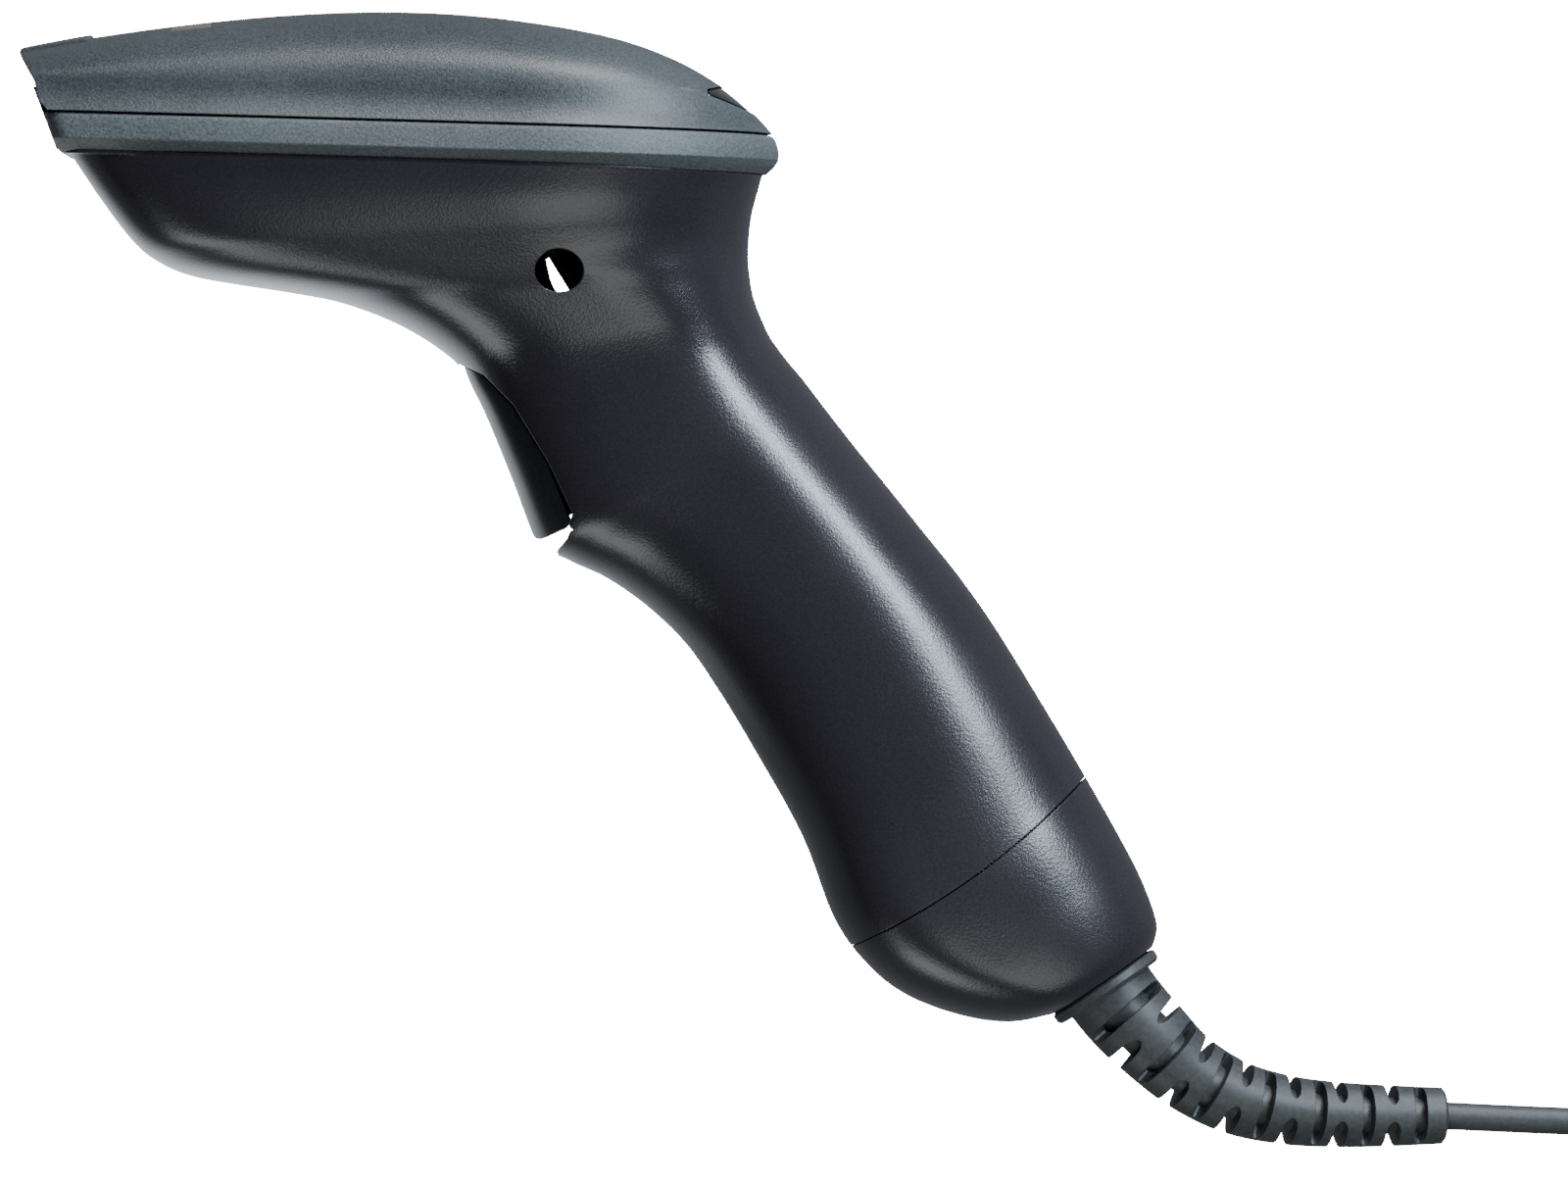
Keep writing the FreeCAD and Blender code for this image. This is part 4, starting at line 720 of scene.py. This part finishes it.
def make_shells():
    """The two housing halves and the end cap, cut from one hollow form."""
    outside = housing_form(0.0)
    inside = housing_form(WALL)
    core = housing_form(0.4)
    shell = cut(duplicate(outside, "shell"), inside, keep=True)
    mouth = flat_stack([(COVER_HALF_WIDTH - 4.0, 6.5, HEAD_REAR - 4.5, z) for z in (-8.0, 1.0)])
    lip = flat_stack([(COVER_HALF_WIDTH - 1.9, 3.5, HEAD_REAR - 2.1, z) for z in (-6.3, -0.5)])
    shell = join(shell, cut(lip, mouth))
    for x, z in SCREW_PLACES:
        shell = join(shell, common(oval_bar(x, z, 2.8, 2.8, -30, 30), core, keep=True))
    for back in (4.2, 8.4):
        rib = common(handle_block(1.0, 34.0, back, back + 1.3, -20, 20), core, keep=True)
        shell = join(shell, cut(rib, box(60, 130, -9, 9, -80, 0)))
    for web in (handle_block(-3.0, 12.0, 0.8, 9.7, 12.1, 20), prism(PORT_WEB, 9, 20)):
        web = common(web, core, keep=True)
        shell = join(shell, common(web, box(60, 130, -30, 30, -60, -15.2)))
    shell = cut(shell, window_block(21.8, 5.4, -12.0, 4.0))
    for side in (-1, 1):
        shell = cut(shell, oval_bar(*HOLE, *sorted((side * 14, side * 40)), 96))
    # Room for the trigger all through its travel.
    for step in (0.0, 0.25, 0.5, 0.75, 1.0, 1.15):
        half = 40 if step == 0.0 else 12.9
        shell = cut(shell, prism(turned(TRIGGER_OUTLINE, TRAVEL * step), -half, half))
    shell = cut(shell, prism(NOTCH_OUTLINE, -40, 40))
    for x, z in SCREW_PLACES:
        shell = cut(shell, oval_bar(x, z, 2.1, 2.1, 9.5, 40))
    cap = common(duplicate(outside, "cap"), below_seam(0.22))
    handle = cut(shell, below_seam())
    plate = common(cylinder_along(along_cable(-2.4), CABLE_OUT, 30, 2.38), core, keep=True)
    cap = join(cut(cap, inside), plate)
    cap = cut(cap, cylinder_along(along_cable(-10), CABLE_OUT, 5.9, 20))
    left = common(duplicate(handle, "left"), box(-50, 250, -60, 0, -200, 50))
    right = common(handle, box(-50, 250, 0, 60, -200, 50))
    bpy.data.objects.remove(outside)
    bpy.data.objects.remove(core)
    finish_piece(left, "housing_near", "housing", HOUSING, ["left_shell"])
    finish_piece(right, "housing_far", "housing", HOUSING, ["right_shell"])
    finish_piece(cap, "handle_cap", "housing", HOUSING, ["end_cap"])


def make_cover():
    outside = cover_form(0.0, 0.0, SEAM_GAP)
    whole = duplicate(outside, "cover")
    whole = cut(whole, prism(NOSE_CUT, -50, 50))
    inside = cut(cover_form(WALL, WALL, SEAM_GAP - 1), window_block(40, 25, -3.4, 20))
    whole = cut(whole, inside)
    pad = common(cover_form(1.0, -0.55, SEAM_GAP), box(-4.8, 6.4, -17, 17, 9.5, 20))
    pad = cut(pad, prism(NOSE_CUT, -50, 50))
    whole = join(whole, pad)
    x0, x1, half, thickness = BADGE
    gap = 0.04
    badge = common(box(x0, x1, -half, half, 9, 30), outside, keep=True)
    sunk = cover_form(thickness, thickness, SEAM_GAP)
    badge = cut(badge, sunk, keep=True)
    whole = cut(whole, prism(LENS_POCKET, -40, 40))
    whole = cut(whole, window_block(21.8, 5.4, -12.0, 4.0))
    whole = cut(whole, cut(box(x0 - gap, x1 + gap, -half - gap, half + gap, 9, 30), sunk))
    lens = common(cover_form(0.35, 0.3, SEAM_GAP), prism(LENS_OUTLINE, -40, 40))
    bpy.data.objects.remove(outside)
    finish_piece(whole, "cover_shell", "housing", COVER, ["top_cover"])
    finish_piece(badge, "badge_plate", "housing", PLATE, ["blank_badge"])
    finish_piece(lens, "indicator_cap", "housing", GLOSS, ["indicator_lens"])


def make_band():
    profile = spline(BAND_UPPER, 5) + spline(BAND_LOWER, 4)
    levels = [(COVER_HALF_WIDTH + out, front, rear, z) for z, out, front, rear in profile]
    band = flat_stack(levels)
    opening = flat_stack([(COVER_HALF_WIDTH - 1.7, 3.2, HEAD_REAR - 1.9, z)
                          for z in (-BAND_HEIGHT - 1, 1)])
    band = cut(cut(band, opening), window_block(21.8, 5.4, -12.0, 4.0))
    finish_piece(band, "band", "housing", BAND, ["bumper_band"])


def make_trigger():
    outline = [(66.2, -37.66), (70.2, -39.34)] + shrunk(TRIGGER_OUTLINE, 0.25)[1:4]
    outline += [(84.75, -61.9), (84.6, -62.6), (84.0, -63.3), (81.0, -64.8), (80.1, -65.15),
                (79.5, -65.15), (79.0, -64.7), (78.4, -63.6), (62.0, -44.0)]
    form = rings_solid("form", [slice_ring(row[0:2], row[2:4], row[4], row[5], RING_POINTS)
                                for row in spline(TRIGGER_SLICES, 8)])
    blade = common(form, prism(outline, -40, 40))
    # A bevel on each side, from the ridge in front to the edge beside the handle.
    for side in (-1, 1):
        ends = []
        for ridge, edge in (((69.4, -38.6), (67.5, -39.0)), ((81.4, -67.0), (79.5, -66.2))):
            ends.append([(ridge[0], side * 12.6, ridge[1]),
                         (edge[0] - 1.0, side * 8.9, edge[1] - 0.3),
                         (edge[0] - 4.0, side * 14.0, edge[1]),
                         (ridge[0], side * 14.0, ridge[1])])
        blade = cut(blade, rings_solid("facet", ends))
    hub = oval_bar(*PIVOT, 3.2, 3.2, -7.8, 7.8)
    arm = prism(((69.3, -37.4), (77.2, -33.6), (79.4, -45.0), (84.6, -52.5), (87.4, -59.8),
                 (84.2, -61.4), (77.0, -60.0), (71.6, -44.4)), -4.0, 4.0)
    blade = join(join(blade, hub), arm)
    blade = cut(blade, oval_bar(*PIVOT, 1.55, 1.55, -20, 20))
    finish_piece(blade, "trigger_blade", "trigger", TRIGGER, ["trigger"])


make_shells()
make_cover()
make_band()
make_trigger()


# ---- strain relief --------------------------------------------------------------------
# Middle line of the relief in millimetres: X and Z in the scanner's frame, and the height over
# the table, or None where the line runs straight out of the handle.
RELIEF_ROUTE = (
    (171.6, -133.15, None), (175.2, -137.6, None), (179.4, -141.8, None), (185.4, -147.0, 15.0),
    (193.0, -151.0, 13.2), (201.4, -152.9, 11.0), (210.0, -153.5, 8.6), (218.6, -153.5, 6.4),
    (226.9, -153.3, 4.9),
)
RELIEF_RADII = (
    (0.0, 7.4), (0.14, 7.1), (0.29, 6.4), (0.43, 6.0), (0.57, 5.6), (0.71, 5.25), (0.86, 4.9),
    (1.0, 4.5),
)
FLANGE = (9.6, 2.0)                 # radius and thickness
GROOVES = 13
GROOVE_WIDTH = 1.9
FIRST_GROOVE = 6.2                  # distance from the relief's start
LAST_GROOVE = 4.5                   # distance from its end
CORE_PART = 0.6                     # part of the radius that the grooves leave
BRIDGE = math.radians(17)           # half of what is left between two grooves of a ring


def relief_points():
    lean = math.pi / 2 + ROLL
    points = []
    for x, z, height in RELIEF_ROUTE:
        if height is None:
            height = LAID_AT[2] + z * math.sin(lean)
        y = (z - (height - LAID_AT[2]) * math.sin(lean)) / math.cos(lean)
        points.append((x + LAID_AT[0], y + LAID_AT[1], height))
    return [Vector(p) for p in spline(points, 12)]


def relief_frames():
    """(part of the length, place, way, side, above) along the relief."""
    points = relief_points()
    lengths = [0.0]
    for a, b in zip(points, points[1:]):
        lengths.append(lengths[-1] + (b - a).length)
    frames = []
    for i, place in enumerate(points):
        if i == 0:
            lean = math.pi / 2 + ROLL
            way = Vector((CABLE_OUT[0], CABLE_OUT[1] * math.cos(lean),
                          CABLE_OUT[1] * math.sin(lean)))
        else:
            way = points[min(i + 1, len(points) - 1)] - points[i - 1]
        way.normalize()
        side = way.cross(Vector((0, 0, 1))).normalized()
        frames.append((lengths[i] / lengths[-1], place, way, side, side.cross(way)))
    return frames, lengths[-1]


def round_rings(frames, radii, count=48):
    rings = []
    for (_, place, _, side, above), radius in zip(frames, radii):
        rings.append([place + (side * math.cos(2 * math.pi * j / count)
                               + above * math.sin(2 * math.pi * j / count)) * radius
                      for j in range(count)])
    return rings


def groove(place, way, side, above, radius, middle, flare):
    """A ring-shaped slot round one side of the relief, with rounded ends."""
    rings = []
    count = 24
    reach = math.pi / 2 - BRIDGE
    for i in range(count + 1):
        part = -1 + 2 * i / count
        angle = middle + reach * part
        half = GROOVE_WIDTH / 2 * max(1 - abs(part) ** 7, 0.04) ** 0.5
        out = side * math.cos(angle) + above * math.sin(angle)
        inner = radius * CORE_PART
        outer = radius * 1.25
        rings.append([place + out * inner - way * half, place + out * inner + way * half,
                      place + out * outer + way * half * flare,
                      place + out * outer - way * half * flare])
    return rings_solid("groove", rings)


def make_relief():
    frames, length = relief_frames()
    radii = [height_on(RELIEF_RADII, frame[0]) for frame in frames]
    radii[-1] -= 0.5
    last = len(frames) - 1
    body = rings_solid("relief", round_rings(frames, radii))
    for i in range(GROOVES):
        reach = FIRST_GROOVE + i * (length - FIRST_GROOVE - LAST_GROOVE) / (GROOVES - 1)
        part = reach / length
        k = min(range(last), key=lambda j: abs(frames[j][0] - part))
        _, place, way, side, above = frames[k]
        for turn in (0, 1):
            middle = turn * math.pi + (math.pi / 2 if i % 2 == 0 else 0)
            flare = 1.5 if i % 2 and turn == 0 else 1.05
            body = cut(body, groove(place, way, side, above, radii[k], middle, flare))
    _, place, way, side, above = frames[0]
    profile = ((5.6, -6.2), (5.6, 0.02), (FLANGE[0] - 0.4, 0.02), (FLANGE[0], 0.4),
               (FLANGE[0], FLANGE[1] - 0.5), (FLANGE[0] - 0.5, FLANGE[1]), (5.0, FLANGE[1]))
    start = [(0, place + way * step, way, side, above) for _, step in profile]
    flange = rings_solid("flange", round_rings(start, [radius for radius, _ in profile], 72))
    body = join(body, flange)
    body.data.transform(Matrix.Scale(0.001, 4))
    finish_piece(body, "cable_relief", "housing", RUBBER, ["strain_relief"],
                 laid=True)


make_relief()


# ---- floor, light, camera -------------------------------------------------------------
TABLE = 3.0                         # half the side
TABLE_TOP = -0.0002
GLOW_AT = (-0.088, 0.012, 0.0)
GLOW_RADII = (0.015, 0.085)
GLOW_STRENGTHS = (2.2, 0.25)
CAMERA_TARGET = (0.00773, -0.00304, 0.02421)
CAMERA_RIGHT = (0.99961, 0.02775, 0.00304)
CAMERA_BACK = (0.0, -0.108867, 0.994056)
CAMERA_DISTANCE = 3.0
FRAME_WIDTH = 0.25                  # what the frame shows across at the target
SENSOR = 36.0                       # in millimetres


def make_stage():
    """A white table: pure white to the eye, dim in reflections but for a glow under the nose."""
    bm = bmesh.new()
    corners = ((-TABLE, -TABLE), (TABLE, -TABLE), (TABLE, TABLE), (-TABLE, TABLE))
    bm.faces.new([bm.verts.new((x, y, TABLE_TOP)) for x, y in corners])
    floor = new_object("table", bm)
    made, nodes, links, shader = material("table_white")
    coordinates = nodes.new("ShaderNodeTexCoord")
    noise = nodes.new("ShaderNodeTexNoise")
    noise.inputs["Scale"].default_value = 6.0
    links.new(coordinates.outputs["Object"], noise.inputs["Vector"])
    ramp = nodes.new("ShaderNodeValToRGB")
    ramp.color_ramp.elements[0].color = (0.86, 0.86, 0.865, 1)
    ramp.color_ramp.elements[1].color = (0.9, 0.9, 0.9, 1)
    links.new(noise.outputs["Fac"], ramp.inputs["Fac"])
    links.new(ramp.outputs["Color"], shader.inputs["Base Color"])
    shader.inputs["Roughness"].default_value = 0.9
    shader.inputs["Specular IOR Level"].default_value = 0.1
    shader.inputs["Emission Color"].default_value = (1, 1, 1, 1)
    shader.inputs["Emission Strength"].default_value = 20.0
    dim = nodes.new("ShaderNodeEmission")
    dim.inputs["Color"].default_value = (0.87, 0.94, 1.0, 1)
    apart = nodes.new("ShaderNodeVectorMath")
    apart.operation = "DISTANCE"
    apart.inputs[1].default_value = GLOW_AT
    links.new(coordinates.outputs["Object"], apart.inputs[0])
    glow = nodes.new("ShaderNodeMapRange")
    glow.inputs["From Min"].default_value = GLOW_RADII[0]
    glow.inputs["From Max"].default_value = GLOW_RADII[1]
    glow.inputs["To Min"].default_value = GLOW_STRENGTHS[0]
    glow.inputs["To Max"].default_value = GLOW_STRENGTHS[1]
    links.new(apart.outputs["Value"], glow.inputs["Value"])
    links.new(glow.outputs["Result"], dim.inputs["Strength"])
    path = nodes.new("ShaderNodeLightPath")
    choice = nodes.new("ShaderNodeMixShader")
    links.new(path.outputs["Is Camera Ray"], choice.inputs[0])
    links.new(dim.outputs["Emission"], choice.inputs[1])
    links.new(shader.outputs["BSDF"], choice.inputs[2])
    links.new(choice.outputs["Shader"], nodes["Material Output"].inputs["Surface"])
    floor.data.materials.append(made)


def area_light(name, place, target, width, height, power, colour):
    data = bpy.data.lights.new(name, "AREA")
    data.shape = "RECTANGLE"
    data.size = width
    data.size_y = height
    data.energy = power
    data.color = colour
    lamp = bpy.data.objects.new(name, data)
    lamp.location = place
    way = Vector(place) - Vector(target)
    lamp.rotation_euler = way.to_track_quat("Z", "Y").to_euler()
    bpy.context.scene.collection.objects.link(lamp)


def make_lights():
    area_light("strip", (0.57, 0.345, 0.74), (0.02, 0.0, 0.03), 0.38, 0.18, 12.6,
               (0.76, 0.90, 1.0))
    area_light("top", (0.32, 1.0, 0.56), (0.0, 0.0, 0.03), 0.6, 0.28, 18.0, (0.93, 0.97, 1.0))
    area_light("side", (0.30, -0.62, 0.85), (0.0, 0.03, 0.03), 0.6, 0.45, 2.4, (0.94, 1.0, 0.93))
    area_light("low", (-0.34, -0.93, 0.24), (-0.04, 0.0, 0.03), 0.5, 0.44, 2.8, (0.92, 1.0, 0.98))
    world = bpy.data.worlds.new("studio")
    world.use_nodes = True
    back = world.node_tree.nodes["Background"]
    back.inputs["Color"].default_value = (0.93, 0.96, 1.0, 1)
    back.inputs["Strength"].default_value = 0.05
    bpy.context.scene.world = world


def make_camera():
    right = Vector(CAMERA_RIGHT)
    back = Vector(CAMERA_BACK)
    up = back.cross(right)
    data = bpy.data.cameras.new("camera")
    data.sensor_width = SENSOR
    data.lens = SENSOR * CAMERA_DISTANCE / FRAME_WIDTH
    camera = bpy.data.objects.new("camera", data)
    place = Vector(CAMERA_TARGET) + back * CAMERA_DISTANCE
    camera.matrix_world = Matrix((
        (right.x, up.x, back.x, place.x),
        (right.y, up.y, back.y, place.y),
        (right.z, up.z, back.z, place.z),
        (0, 0, 0, 1)))
    bpy.context.scene.collection.objects.link(camera)
    bpy.context.scene.camera = camera


make_stage()
make_lights()
make_camera()
